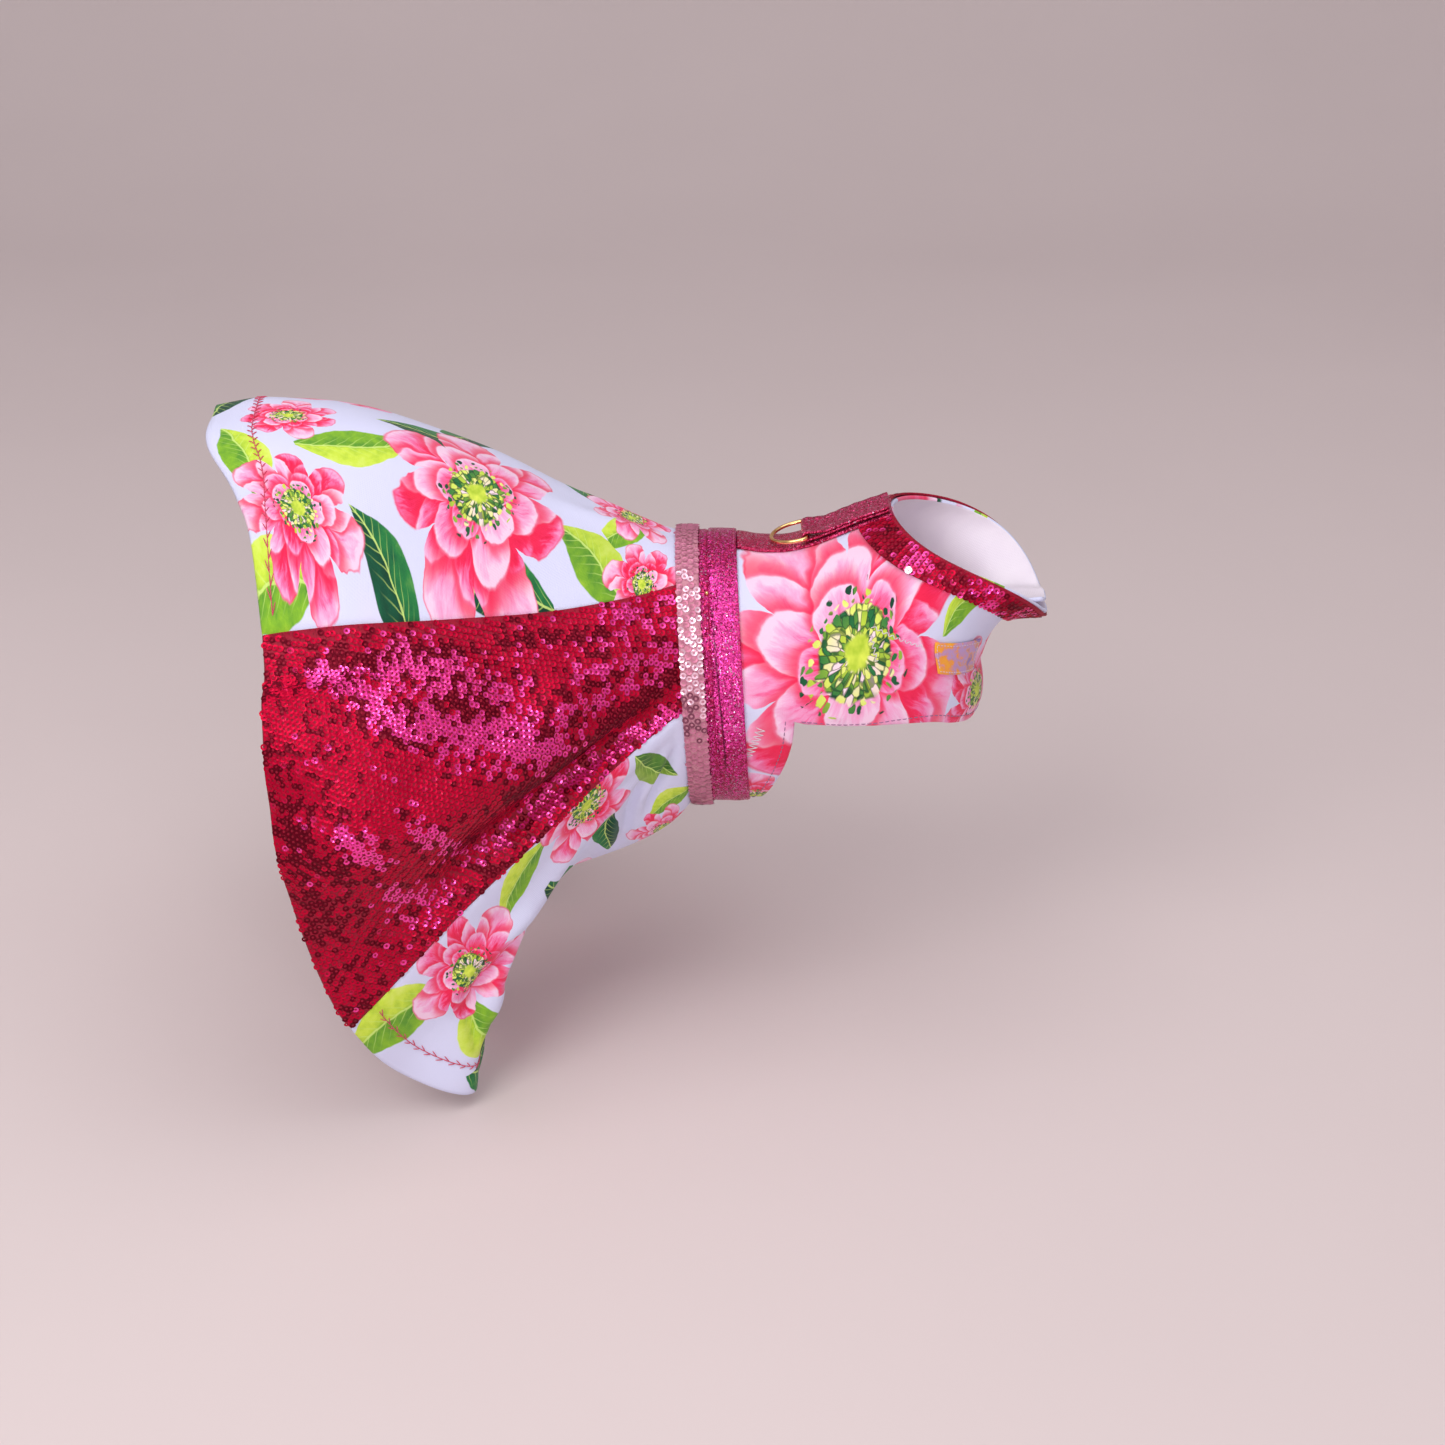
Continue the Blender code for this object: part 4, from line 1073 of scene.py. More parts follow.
def thread_material(name, colour):
    made, tree, shader = material(name, Roughness=0.5, Sheen_Weight=0.3)
    twist = noise(tree, object_place(tree), 2500.0, 2.0)
    dark = tuple(c * 0.7 for c in colour[:3]) + (1.0,)
    feed(tree, mix_colour(tree, twist, dark, colour), shader.inputs["Base Color"])
    bump(tree, shader, twist, 0.0001)
    return made


def gold_material():
    made, tree, shader = material("gold_plate", Metallic=1.0, Roughness=0.16)
    worn = noise(tree, object_place(tree), 380.0, 4.0)
    gold = mix_colour(tree, worn, srgb(0.93, 0.74, 0.45), srgb(0.98, 0.85, 0.62))
    feed(tree, gold, shader.inputs["Base Color"])
    feed(tree, worn * 0.16 + 0.10, shader.inputs["Roughness"])
    return made


def label_material():
    """Satin-woven label with soft patches of colour and no text."""
    made, tree, shader = material("label_satin", Roughness=0.45, Sheen_Weight=0.2)
    uv = flat_uv(tree)
    soft = noise(tree, uv, 190.0, 2.0)
    along = separate(tree, uv)[0] / LABEL_LENGTH * 0.7 + 0.5 + (soft - 0.5) * 1.9
    feed(tree, colour_ramp(tree, along, LABEL_STOPS), shader.inputs["Base Color"])
    bump(tree, shader, weave(tree, uv, 3600.0), 0.00006)
    return made


def hook_material():
    made, tree, shader = material("hook_tape_pile", Roughness=0.9, Sheen_Weight=0.3)
    hooks = place_node(tree, "ShaderNodeTexVoronoi", {"Vector": object_place(tree), "Scale": 1100.0})
    pile = mix_colour(tree, hooks, srgb(0.94, 0.93, 0.95), srgb(0.74, 0.73, 0.77))
    feed(tree, pile, shader.inputs["Base Color"])
    bump(tree, shader, hooks, 0.0004)
    return made


def lining_material():
    """Plain cotton that lines the bodice."""
    made, tree, shader = material("bodice_lining", Roughness=0.85, Sheen_Weight=0.2)
    uv = flat_uv(tree)
    cotton = mix_colour(tree, noise(tree, uv, 60.0), srgb(0.86, 0.82, 0.88), srgb(0.92, 0.89, 0.93))
    feed(tree, cotton, shader.inputs["Base Color"])
    bump(tree, shader, weave(tree, uv, 2400.0), 0.0001, 0.6)
    return made


# Pieces


def row_pattern(points, share, seam_column, start):
    """Flat pattern of a panel gathered under the belly: round from its seam, and down from the waist."""
    step = np.linalg.norm(np.diff(points, axis=1), axis=-1)
    run = np.concatenate([np.zeros((len(points), 1)), np.cumsum(step, axis=1)], axis=1)
    run = run - run[:, seam_column][:, None]
    return np.stack([start + run, share * SKIRT_LENGTH], axis=-1)


def skirt_panel(name, node, slot, start, end, materials, spacing, flat=None):
    """One panel of the skirt, with its hem turned in and its seams drawn in a little.

    Flat is the width, length and area of a panel that is gathered. Others have theirs from the flat pattern.
    """
    tuck = -TUCK_SHARE * TRIM_WIDTH / SKIRT_LENGTH
    hem_start = 1 - HEM_DEPTH / SKIRT_LENGTH
    inner, outer = PATTERN_RADIUS, PATTERN_RADIUS + SKIRT_LENGTH
    turn = math.radians((end - start) * PATTERN_TURN)
    shares = np.concatenate([[tuck, 0.0], np.linspace(0.0, 1.0, round(SKIRT_LENGTH / spacing))[1:]])
    angles = np.linspace(start, end, round(turn * outer / spacing))
    share, angle = np.meshgrid(shares, angles, indexing="ij")
    arc = np.radians(PATTERN_TURN) * (inner + np.clip(share, 0, 1) * SKIRT_LENGTH)
    from_seam = np.minimum(angle - start, end - angle) * arc
    fold = ramp(share, hem_start - 0.004, hem_start + 0.004)
    seam = -0.0005 * np.exp(-((from_seam / 0.0016) ** 2))
    edge = -0.0003 * np.exp(-(((share - hem_start) * SKIRT_LENGTH / 0.0012) ** 2))
    points = on_skirt(share, angle, seam + edge - fold * HEM_EXTRA / 2)
    for side, neighbour in ((0, 1), (-1, -2)):
        points[:, side] += unit(points[:, neighbour] - points[:, side]) * GAP / 2
    faces = grid_faces(len(shares), len(angles))[:, ::-1]
    wall = (SKIRT_WALL * 0.9 + fold * HEM_EXTRA).ravel()
    if flat:
        uv = row_pattern(points, share, 0 if start > 0 else -1, math.copysign(LOWER_PATTERN_START, start))
    else:
        uv = pattern(share, angle)
        width, length = 2 * outer * math.sin(turn / 2), outer - inner * math.cos(turn / 2)
        flat = (width, length, turn * (outer**2 - inner**2) / 2)
    obj = add_piece(shell(name, points, faces, uv, wall, materials), replaces=[node])


def surface_frame(place, u, v, du=0.05, dv=0.5):
    """(points, normals, direction along u) of a surface at pairs u, v."""
    along_u = place(u + du, v) - place(u - du, v)
    along_v = place(u, v + dv) - place(u, v - dv)
    return place(u, v), unit(np.cross(along_v, along_u)), unit(along_u)


def skirt_frame(share, angle):
    """(points, outward normals, direction to the hem) of the skirt's middle layer."""
    points, inward, along = surface_frame(on_skirt, share, angle, 0.004, 0.25)
    return points, -inward, along


def hexagons(width, height, pitch):
    """Rows of points a pitch apart, every second row shifted by half."""
    along, across = np.arange(0.0, width, pitch), np.arange(0.0, height, pitch * 0.866)
    shift = (np.arange(len(across)) % 2) * pitch / 2
    both = np.broadcast_arrays(along + shift[:, None], across[:, None])
    return np.stack(both, axis=-1).reshape(-1, 2)


def skirt_sequins(name, start, end, foil, seed):
    rng = np.random.default_rng(seed)
    outer = PATTERN_RADIUS + SKIRT_LENGTH
    middle = math.radians((start + end) / 2 * PATTERN_TURN)
    spots = hexagons(2 * outer, outer, SEQUIN_PITCH) - np.array([outer, 0.0])
    spots = spots + rng.normal(size=spots.shape) * SEQUIN_PITCH * 0.07
    radius = np.linalg.norm(spots, axis=1)
    share = (radius - PATTERN_RADIUS) / SKIRT_LENGTH
    angle = np.degrees(np.arctan2(spots[:, 0], spots[:, 1]) + middle) / PATTERN_TURN
    margin = np.degrees(0.0008 / radius) / PATTERN_TURN
    keep = (share > 0.004) & (share < 1.0) & (angle > start + margin) & (angle < end - margin)
    share, angle = share[keep], angle[keep]
    points, normals, along = skirt_frame(share, angle)
    frames = points + normals * (SKIRT_WALL / 2 + SEQUIN_RISE), normals, along
    painted_gleam = foil_gleam(share, angle, rng)
    discs = sequins(name, frames, SEQUIN_RADIUS, SEQUIN_HOLE, foil, seed, painted_gleam, shingle_deg=SHINGLE_DEG)
    add_piece(discs)


def band(name, node, wall, front, width, base, relief, rows, cloth):
    """A ribbon or braid round the waist."""
    angles = np.linspace(SKIRT_END_LEFT - 5.0, STRAP_END_RIGHT - 1.0, 300)
    share, angle = np.meshgrid(np.linspace(0.0, 1.0, rows), angles, indexing="ij")
    points = waist_point(front - width * (1 - share), angle, base + wall / 2 + relief(share, angle))
    uv = np.stack([np.radians(angle) * BAND_RADIUS, share * width], axis=-1)
    obj = shell(name, points, grid_faces(rows, len(angles)), uv, wall * 0.8, [cloth])
    add_piece(obj, replaces=[node])


def groove(share, middle, width):
    """How near the share is to the middle of a groove, from 0 to 1."""
    return np.exp(-(((share - middle) / width) ** 2))


def ribbon_relief(share, angle):
    """The ribbon's lengthwise crease, which fades under the belly, and its slightly wavy edges."""
    size = np.abs(angle)
    step = 0.0005 * (ramp(share, 0.24, 0.31) - 0.4) - 0.0007 * groove(share, 0.25, 0.028)
    bend = 0.34 + 0.10 * ramp(size, 50.0, 110.0)
    second = -0.0009 * groove(share, bend, 0.03) * ramp(size, 45.0, 80.0)
    swell = 0.0004 * np.sin(math.pi * share)
    ripple = 0.00012 * wobble(waist_point(0.0, angle, 0.0) + share[..., None] * 0.02, 0.016, 5)
    return (step + second) * (1 - ramp(size, 105.0, 140.0)) + swell + ripple


def trim_relief(share, angle):
    return TRIM_WALL * 0.2 * np.sin(math.pi * share)


def trim_place(share, angle):
    """A point of the surface that the braid's sequins lie on: share 0 is its rear edge and 1 its front."""
    lift = TRIM_RISE + TRIM_WALL * 0.9 + trim_relief(share, angle)
    return waist_point(TRIM_FRONT - TRIM_WIDTH * (1 - share), angle, lift)


def trim_sequins(foil):
    spots = hexagons(BAND_LENGTH - 0.002, TRIM_WIDTH - 0.0010, TRIM_SEQUIN_PITCH)
    rng = np.random.default_rng(21)
    spots = spots + rng.normal(size=spots.shape) * 0.00022
    angle = np.degrees(spots[:, 0] / BAND_RADIUS) + SKIRT_END_LEFT - 4.0
    across = (spots[:, 1] + 0.0009) / TRIM_WIDTH
    keep = (angle < STRAP_END_RIGHT - 2.0) & (across < 0.97)
    angle, across = angle[keep], across[keep]
    points, normals, along = surface_frame(trim_place, across, angle)
    size = np.abs(angle)
    # Painted highlight on the braid's sequins from about 22 to 92 degrees round, and painted shade from 72
    # to 108
    bright = ramp(size, 22.0, 34.0) * (1 - ramp(size, 80.0, 92.0))
    dark = ramp(size, 72.0, 84.0) * (1 - ramp(size, 98.0, 108.0))
    pick = rng.uniform(size=len(angle))
    plain = rng.normal(size=len(angle)) * 0.12
    painted_gleam = np.where(pick < 0.62 * bright, 0.95, np.where(pick > 1 - 0.45 * dark, -0.9, plain))
    discs = sequins(
        "waist_trim_sequins", (points + normals * 0.0003, normals, along),
        TRIM_SEQUIN_RADIUS, TRIM_SEQUIN_HOLE, foil, 22, painted_gleam, patch=0.016, missing=0.04,
    )
    add_piece(discs)


def bodice_uv(station, angle):
    """Metres forward along the body from the waist, and round from the spine with the right side below 0."""
    stations, angles = np.linspace(0.0, LAST_STATION, 61), np.linspace(-212.0, 188.0, 201)
    grid = body_surface(stations[:, None], angles[None, :])
    ahead = np.cumsum(np.linalg.norm(np.diff(grid, axis=0, prepend=grid[:1]), axis=-1), axis=0)
    around = np.cumsum(np.linalg.norm(np.diff(grid, axis=1, prepend=grid[:, :1]), axis=-1), axis=1)
    around = around - around[:, np.argmin(np.abs(angles))][:, None]
    i, j = np.clip(station, 0.0, LAST_STATION - 0.001) * 10.0, (angle - angles[0]) / 2.0
    i0, j0 = i.astype(int), j.astype(int)
    s, t = i - i0, j - j0

    def read(table):
        low = table[i0, j0] * (1 - t) + table[i0, j0 + 1] * t
        return low * (1 - s) + s * (table[i0 + 1, j0] * (1 - t) + table[i0 + 1, j0 + 1] * t)

    return np.stack([read(ahead), -read(around)], axis=-1)


def bodice_relief(points):
    """Small creases and the slack of lined cloth."""
    relief = 0.00035 * wobble(points, 0.05, 11) + 0.00012 * wobble(points, 0.018, 12)
    fan = np.exp(-((np.linalg.norm(points - np.array([0.040, -0.056, 0.0]), axis=-1) / 0.022) ** 2))
    return relief + 0.0005 * fan * np.sin((points[..., 0] * 0.8 + points[..., 2]) * 2 * math.pi / 0.013)


def make_bodice(materials):
    """The lined bodice: saddle, chest wings and belly strap ends."""
    tails, strap_rows, wing_rows = 64, 18, 58
    back = np.linspace(-ARMHOLE_ANGLE, ARMHOLE_ANGLE, 101)
    count = len(back) + 2 * tails
    points, uvs = [], []
    for rows, end_right, end_left, edge, dip in (
        (strap_rows, STRAP_END_RIGHT, STRAP_END_LEFT, strap_edge_station, strap_dip),
        (wing_rows, WING_END_RIGHT, WING_END_LEFT, wing_edge_station, wing_dip),
    ):
        left = np.linspace(end_left, -ARMHOLE_ANGLE, tails + 1)[:-1]
        right = np.linspace(ARMHOLE_ANGLE, end_right, tails + 1)[1:]
        columns = np.concatenate([left, back, right])
        split = np.where(np.abs(columns) < ARMHOLE_ANGLE, ARMHOLE_STATION, edge(columns))
        start, end = (FIRST_STATION, split) if rows == strap_rows else (split, LAST_STATION)
        angle = np.broadcast_to(columns, (rows, count))
        station = start + (end - start) * np.linspace(0, 1, rows)[:, None]
        middle = dip(angle) + BODICE_WALL / 2
        relief = bodice_relief(on_body(station, angle, middle))
        points.append(on_body(station, angle, middle + relief).reshape(-1, 3))
        uvs.append(bodice_uv(station, angle).reshape(-1, 2))
    points, uv = np.concatenate(points), np.concatenate(uvs)
    faces = [grid_faces(strap_rows, count), grid_faces(wing_rows, count, strap_rows * count)]
    shared = (strap_rows - 1) * count + np.arange(tails, count - tails)
    swap = np.arange(len(points))
    swap[shared + count] = shared
    faces = swap[np.concatenate(faces)]
    used = np.unique(faces)
    renumber = np.zeros(len(points), int)
    renumber[used] = np.arange(len(used))
    obj = shell("bodice_cloth", points[used], renumber[faces], uv[used], BODICE_WALL * 0.92, materials)
    add_piece(obj, replaces=["bodice"])


def collar_place(share, angle):
    """A point of the collar's middle layer: share -1 is its lower edge and 0 the neck edge."""
    edge, below = on_body(LAST_STATION - 0.01, angle, 0.0), on_body(LAST_STATION - 1.01, angle, 0.0)
    reach = COLLAR_WIDTH / np.linalg.norm(edge - below, axis=-1)
    return on_body(LAST_STATION + share * reach, angle, BODICE_WALL + GAP + COLLAR_WALL / 2)


def make_collar(side, start, end, net, foil, seed):
    rows, count = 9, 90
    angles = np.linspace(min(start, end), max(start, end), count)
    share, angle = np.meshgrid(np.linspace(-1, 0, rows), angles, indexing="ij")
    points = collar_place(share, angle)
    uv = np.stack([np.radians(angle) * 0.045, share * COLLAR_WIDTH], axis=-1)
    obj = shell(f"collar_{side}_cloth", points, grid_faces(rows, count), uv, COLLAR_WALL * 0.8, net)
    add_piece(obj, replaces=[f"collar_{side}"])
    run = run_along(points[rows // 2])
    length = float(run[-1])
    spots = hexagons(length - 0.0018, COLLAR_WIDTH - 0.0016, SEQUIN_PITCH) + 0.0009
    turn = np.interp(spots[:, 0], run, angles)
    centres, normals, along = surface_frame(collar_place, spots[:, 1] / COLLAR_WIDTH - 1.0, turn)
    centres = centres + normals * (COLLAR_WALL / 2 + SEQUIN_RISE)
    rng = np.random.default_rng(seed)
    # Patches of painted highlight and painted shade on the collar's sequins
    painted_gleam = np.tanh(1.2 * wobble(centres, 0.020, seed) + 0.8 * rng.normal(size=len(centres)))
    discs = sequins(
        f"collar_{side}_sequins", (centres, normals, along),
        SEQUIN_RADIUS, SEQUIN_HOLE, foil, seed, painted_gleam, shingle_deg=SHINGLE_DEG,
    )
    add_piece(discs)


def spine_half_angle(station):
    """Half of the angle that the spine ribbon takes up."""
    side = body_surface(np.asarray(station, float), np.asarray(5.0))
    sine = SPINE_RIBBON_WIDTH / 2 / abs(float(side[1])) * math.sin(math.radians(5.0))
    return math.degrees(math.asin(min(1.0, sine)))


def ribbon_start_station():
    """Where the spine ribbon comes out from under the waist ribbon."""
    stations = np.linspace(0.5, 2.0, 151)
    ahead = body_surface(stations, 0.0)[:, 0] - (RIBBON_FRONT + band_x(WAIST_HALF_HEIGHT)) - GAP
    return float(stations[np.argmax(ahead > 0)])


def make_spine_ribbon(glitter):
    stations = np.linspace(ribbon_start_station(), LAST_STATION, 60)
    half = np.array([spine_half_angle(s) for s in stations])
    share = np.broadcast_to(np.linspace(-1, 1, RIBBON_COLUMNS), (len(stations), RIBBON_COLUMNS))
    station, angle = stations[:, None], half[:, None] * share
    rise = BODICE_WALL + GAP + RIBBON_WALL / 2
    ripple = 0.0001 * wobble(on_body(station, angle, rise), 0.014, 31)
    points = on_body(station, angle, rise + ripple)
    run = run_along(points[:, RIBBON_COLUMNS // 2])
    uv = np.stack(np.broadcast_arrays(run[:, None], share * SPINE_RIBBON_WIDTH / 2), axis=-1)
    faces = grid_faces(len(stations), RIBBON_COLUMNS)
    obj = shell("spine_ribbon_cloth", points, faces, uv, RIBBON_WALL * 0.8, [glitter])
    add_piece(obj, replaces=["spine_ribbon"])


def ring_bar():
    return on_body(RING_STATION, 0.0, STRAP_FLOOR + STRAP_WALL + GAP + RING_WIRE / 2)


def make_ring_strap(glitter):
    """The folded ribbon that holds the ring, its upper layer crowned a little."""
    count, bends = 46, 22
    stations = np.linspace(LAST_STATION, RING_STATION, count)
    low = STRAP_FLOOR + STRAP_WALL / 2
    high = low + STRAP_WALL + GAP
    turn = RING_WIRE / 2 + GAP + STRAP_WALL / 2
    bottom = on_body(stations, 0.0, low)
    top_rise = high + (low + 2 * turn - high) * ramp(stations, RING_STATION + 0.9, RING_STATION)
    top = on_body(stations[::-1], 0.0, top_rise[::-1])
    centre = ring_bar()
    down = unit(bottom[-1] - centre)
    back = np.array([-down[2], 0.0, down[0]])
    back = back if back[0] < 0 else -back
    a = np.linspace(0, math.pi, bends)[1:-1, None]
    bend = centre + turn * (np.cos(a) * down + np.sin(a) * back)
    path = np.concatenate([bottom, bend, top])
    ahead = np.gradient(path, axis=0)
    side = unit(np.stack([ahead[:, 2], 0 * ahead[:, 0], -ahead[:, 0]], axis=-1))
    across = np.linspace(-1, 1, RIBBON_COLUMNS)
    crown = np.concatenate([np.zeros(len(path) - count), np.ones(count)])[:, None]
    ripple = 0.00012 * np.sin(np.arange(len(path)) * 0.9)[:, None]
    rise = crown * (0.0006 * (1 - across**2) + ripple)
    points = path[:, None] + side[:, None] * rise[..., None]
    points = points + np.array([0.0, 1.0, 0.0]) * (across * (SPINE_RIBBON_WIDTH / 2 - GAP))[None, :, None]
    run = run_along(path)
    uv = np.stack(np.broadcast_arrays(run[:, None], across * SPINE_RIBBON_WIDTH / 2), axis=-1)
    faces = grid_faces(len(path), RIBBON_COLUMNS)
    obj = shell("ring_strap_cloth", points, faces, uv, STRAP_WALL * 0.85, [glitter])
    add_piece(obj, replaces=["ring_strap"])


def make_leash_ring(gold):
    """The D-shaped ring of round wire, with the soldered joint hidden in the strap."""
    bar = ring_bar()
    line = on_body(np.linspace(0.8, RING_STATION, 200), 0.0, STRAP_FLOOR + RING_WIRE / 2)
    reach = RING_DEPTH - RING_WIRE
    rear = line[np.argmin(np.abs(np.linalg.norm(line - bar, axis=1) - reach))]
    back = unit(rear - bar)
    half = (RING_INSIDE_WIDTH + RING_WIRE) / 2
    corner = RING_WIRE * 1.4
    bow = [
        (math.cos(a) * half, corner + (reach - corner) * math.sin(a) ** 0.9)
        for a in np.linspace(0, math.pi, 61)
    ]
    left = [
        (-half + corner + math.cos(a) * corner, corner + math.sin(a) * corner)
        for a in np.linspace(math.pi, 1.5 * math.pi, 9)[1:]
    ]
    right = [(-y, s) for y, s in reversed(left)]
    path = np.array([bar + np.array([0.0, y, 0.0]) + back * s for y, s in bow + left + [(0.0, 0.0)] + right])
    ahead = unit(np.roll(path, -1, axis=0) - np.roll(path, 1, axis=0))
    up = np.broadcast_to(unit(np.cross(back, [0.0, 1.0, 0.0])), path.shape)
    across = np.cross(ahead, up)
    turns = np.linspace(0, 2 * math.pi, 20, endpoint=False)[:, None, None]
    points = path + RING_WIRE / 2 * (np.cos(turns) * up + np.sin(turns) * across)
    faces = tube_faces(len(turns), len(path), closed=True)[:, INSIDE_OUT]
    wire = new_mesh("leash_ring_wire", in_row(points.reshape(-1, 3)), faces, [gold])
    add_piece(wire, body="ring", replaces=["leash_ring"])


def label_place(up, along):
    """(station, angle) of a point that far up and along the label from its middle, in metres."""
    centre = body_surface(LABEL_STATION, LABEL_ANGLE)
    per_degree = np.linalg.norm(body_surface(LABEL_STATION, LABEL_ANGLE + 1.0) - centre)
    per_station = np.linalg.norm(body_surface(LABEL_STATION + 0.1, LABEL_ANGLE) - centre) * 10
    turn = math.radians(LABEL_TURN_DEG)
    station = LABEL_STATION + (along * math.sin(turn) + up * math.cos(turn)) / per_station
    angle = LABEL_ANGLE + (along * math.cos(turn) - up * math.sin(turn)) / per_degree
    return station, angle


def make_label(satin, thread):
    rows, count = 15, 25
    up, along = np.linspace(-0.5, 0.5, rows) * LABEL_HEIGHT, np.linspace(-0.5, 0.5, count) * LABEL_LENGTH
    up, along = np.meshgrid(up, along, indexing="ij")
    points = on_body(*label_place(up, along), BODICE_WALL + 2 * GAP + LABEL_WALL / 2)
    uv = np.stack([along, up], axis=-1)
    obj = shell("label_cloth", points, grid_faces(rows, count), uv, LABEL_WALL * 0.7, [satin])
    add_piece(obj, replaces=["label"])
    w, h = LABEL_LENGTH / 2 - 0.0010, LABEL_HEIGHT / 2 - 0.0010
    corners = np.array([(-h, -w), (-h, w), (h, w), (h, -w), (-h, -w)])
    line = np.concatenate([np.linspace(a, b, 40)[:-1] for a, b in zip(corners, corners[1:])])
    at = label_place(line[:, 0], line[:, 1])
    edge = on_body(*at, BODICE_WALL + 2 * GAP + LABEL_WALL * 0.9)
    out = on_body(*at, 0.006) - edge
    stitches = stitch_line("label_stitches", edge, out, 0.0016, 0.72, thread, radius=0.00014)


def stitch_line(name, line, up, pitch, share, thread, radius=THREAD_RADIUS):
    """Running stitches along a line of points, each a share of the pitch long."""
    run = run_along(line)
    starts = np.arange(0, run[-1], pitch)
    starts = starts[starts + pitch * share < run[-1]]

    def read(values, at):
        return np.stack([np.interp(at, run, values[:, k]) for k in range(3)], axis=1)

    ends = read(line, starts + pitch * share)
    return add_piece(tubes(name, read(line, starts), ends, unit(read(up, starts)), radius, thread))


def zigzag(name, place, run, pitch, thread):
    """Zigzag stitches: place(share of the run, side) gives points and what is up there.

    Side goes from -1 to 1 and back.
    """
    count = max(2, round(run / pitch))
    side = np.where(np.arange(count + 1) % 2 == 0, -1.0, 1.0)
    points, up = place(np.linspace(0, 1, count + 1), side)
    add_piece(tubes(name, points[:-1], points[1:], up[:-1], THREAD_RADIUS, thread))


def feather(name, place, run, pitch, thread):
    """Feather stitches: a line with a branch at each stitch, side by side. Place is as for zigzag."""
    count = max(2, round(run / pitch))
    share = np.linspace(0, 1, count + 1)
    line, up = place(share, np.zeros(count + 1))
    tips, _ = place(share[:-1], np.where(np.arange(count) % 2 == 0, -1.0, 1.0))
    starts, ends = np.concatenate([line[:-1], line[1:]]), np.concatenate([line[1:], tips])
    up = np.concatenate([up[:-1], up[1:]])
    add_piece(tubes(name, starts, ends, up, THREAD_RADIUS, thread))


def hem_stitches(thread):
    """The feather line in coloured thread that holds up the print panels' hems."""
    hem = 1 - HEM_DEPTH / SKIRT_LENGTH
    for name, start, end in (
        ("hem_stitches_top", -SEAM_TOP, SEAM_TOP),
        ("hem_stitches_right", SEAM_SIDE, SKIRT_END_RIGHT),
        ("hem_stitches_left", SKIRT_END_LEFT, -SEAM_SIDE),
    ):

        def place(share, side):
            angle = start + 1.0 + (end - start - 2.0) * share
            size = np.abs(angle)
            drawn = 0.012 * ramp(size, 15.0, SEAM_TOP) * (size < SEAM_TOP)
            points, out, _ = skirt_frame(hem + (drawn + side * 0.0020) / SKIRT_LENGTH, angle)
            return points + out * (SKIRT_WALL / 2 + 0.0001), out

        run = math.radians((end - start) * PATTERN_TURN) * (PATTERN_RADIUS + hem * SKIRT_LENGTH)
        feather(name, place, run, 0.0024, thread)


def bodice_stitches(thread):
    """Topstitching inside the bodice's free edges."""
    rise = BODICE_WALL + STITCH_RISE
    wing, strap = (wing_edge_station, 1.0, wing_dip), (strap_edge_station, -1.0, strap_dip)
    for name, start, end, count, (edge, inset, dip) in (
        ("wing_stitches_right", ARMHOLE_ANGLE, WING_END_RIGHT - 3.0, 120, wing),
        ("wing_stitches_left", -ARMHOLE_ANGLE, -157.0, 90, wing),
        ("strap_stitches_right", ARMHOLE_ANGLE, STRAP_END_RIGHT - 2.0, 120, strap),
        ("strap_stitches_left", -ARMHOLE_ANGLE, -160.0, 90, strap),
    ):
        angle = np.linspace(start, end, count)
        station, sunk = edge(angle), dip(angle)
        step = on_body(station + 0.05, angle, 0.0) - on_body(station - 0.05, angle, 0.0)
        station = station + inset * 0.0034 / (np.linalg.norm(step, axis=-1) / 0.1)
        relief = bodice_relief(on_body(station, angle, sunk + BODICE_WALL / 2))
        line = on_body(station, angle, sunk + rise + relief)
        up = on_body(station, angle, sunk + rise + 0.002) - on_body(station, angle, sunk + rise)
        stitch_line(name, line, up, 0.0026, 0.74, thread)


def closure_stitches(thread):
    """The zigzag that shows where the pads under the right wing and strap are sewn on."""
    for name, station0, station1, angle0, angle1 in (
        ("chest_pad_stitches_top", 3.30, 3.80, 68.0, 97.0),
        ("chest_pad_stitches_back", 3.10, 2.75, 70.0, 80.0),
        ("belly_pad_stitches", 1.16, 0.98, 96.0, 112.0),
    ):

        def place(share, side):
            station = station0 + (station1 - station0) * share + side * 0.055
            angle = angle0 + (angle1 - angle0) * share
            points = on_body(station, angle, BODICE_WALL + STITCH_RISE)
            return points, unit(on_body(station, angle, BODICE_WALL + 0.001) - points)

        ends, _ = place(np.array([0.0, 1.0]), np.zeros(2))
        zigzag(name, place, float(np.linalg.norm(ends[1] - ends[0])), 0.0013, thread)


def band_stitches(thread):
    """Lines of stitching along the waist ribbon's edges."""
    angles = np.linspace(SKIRT_END_LEFT - 4.0, STRAP_END_RIGHT - 2.0, 400)
    for name, share in (("ribbon_stitches_front", 0.95), ("ribbon_stitches_back", 0.05)):
        relief = ribbon_relief(np.full(len(angles), share), angles)
        lift = BODICE_WALL + GAP + RIBBON_WALL * 0.9 + relief
        line = waist_point(RIBBON_FRONT - RIBBON_WIDTH * (1 - share), angles, lift)
        up = waist_point(0.0, angles, lift + 0.01) - waist_point(0.0, angles, lift)
        stitch_line(name, line, up, 0.0022, 0.7, thread, radius=0.00016)


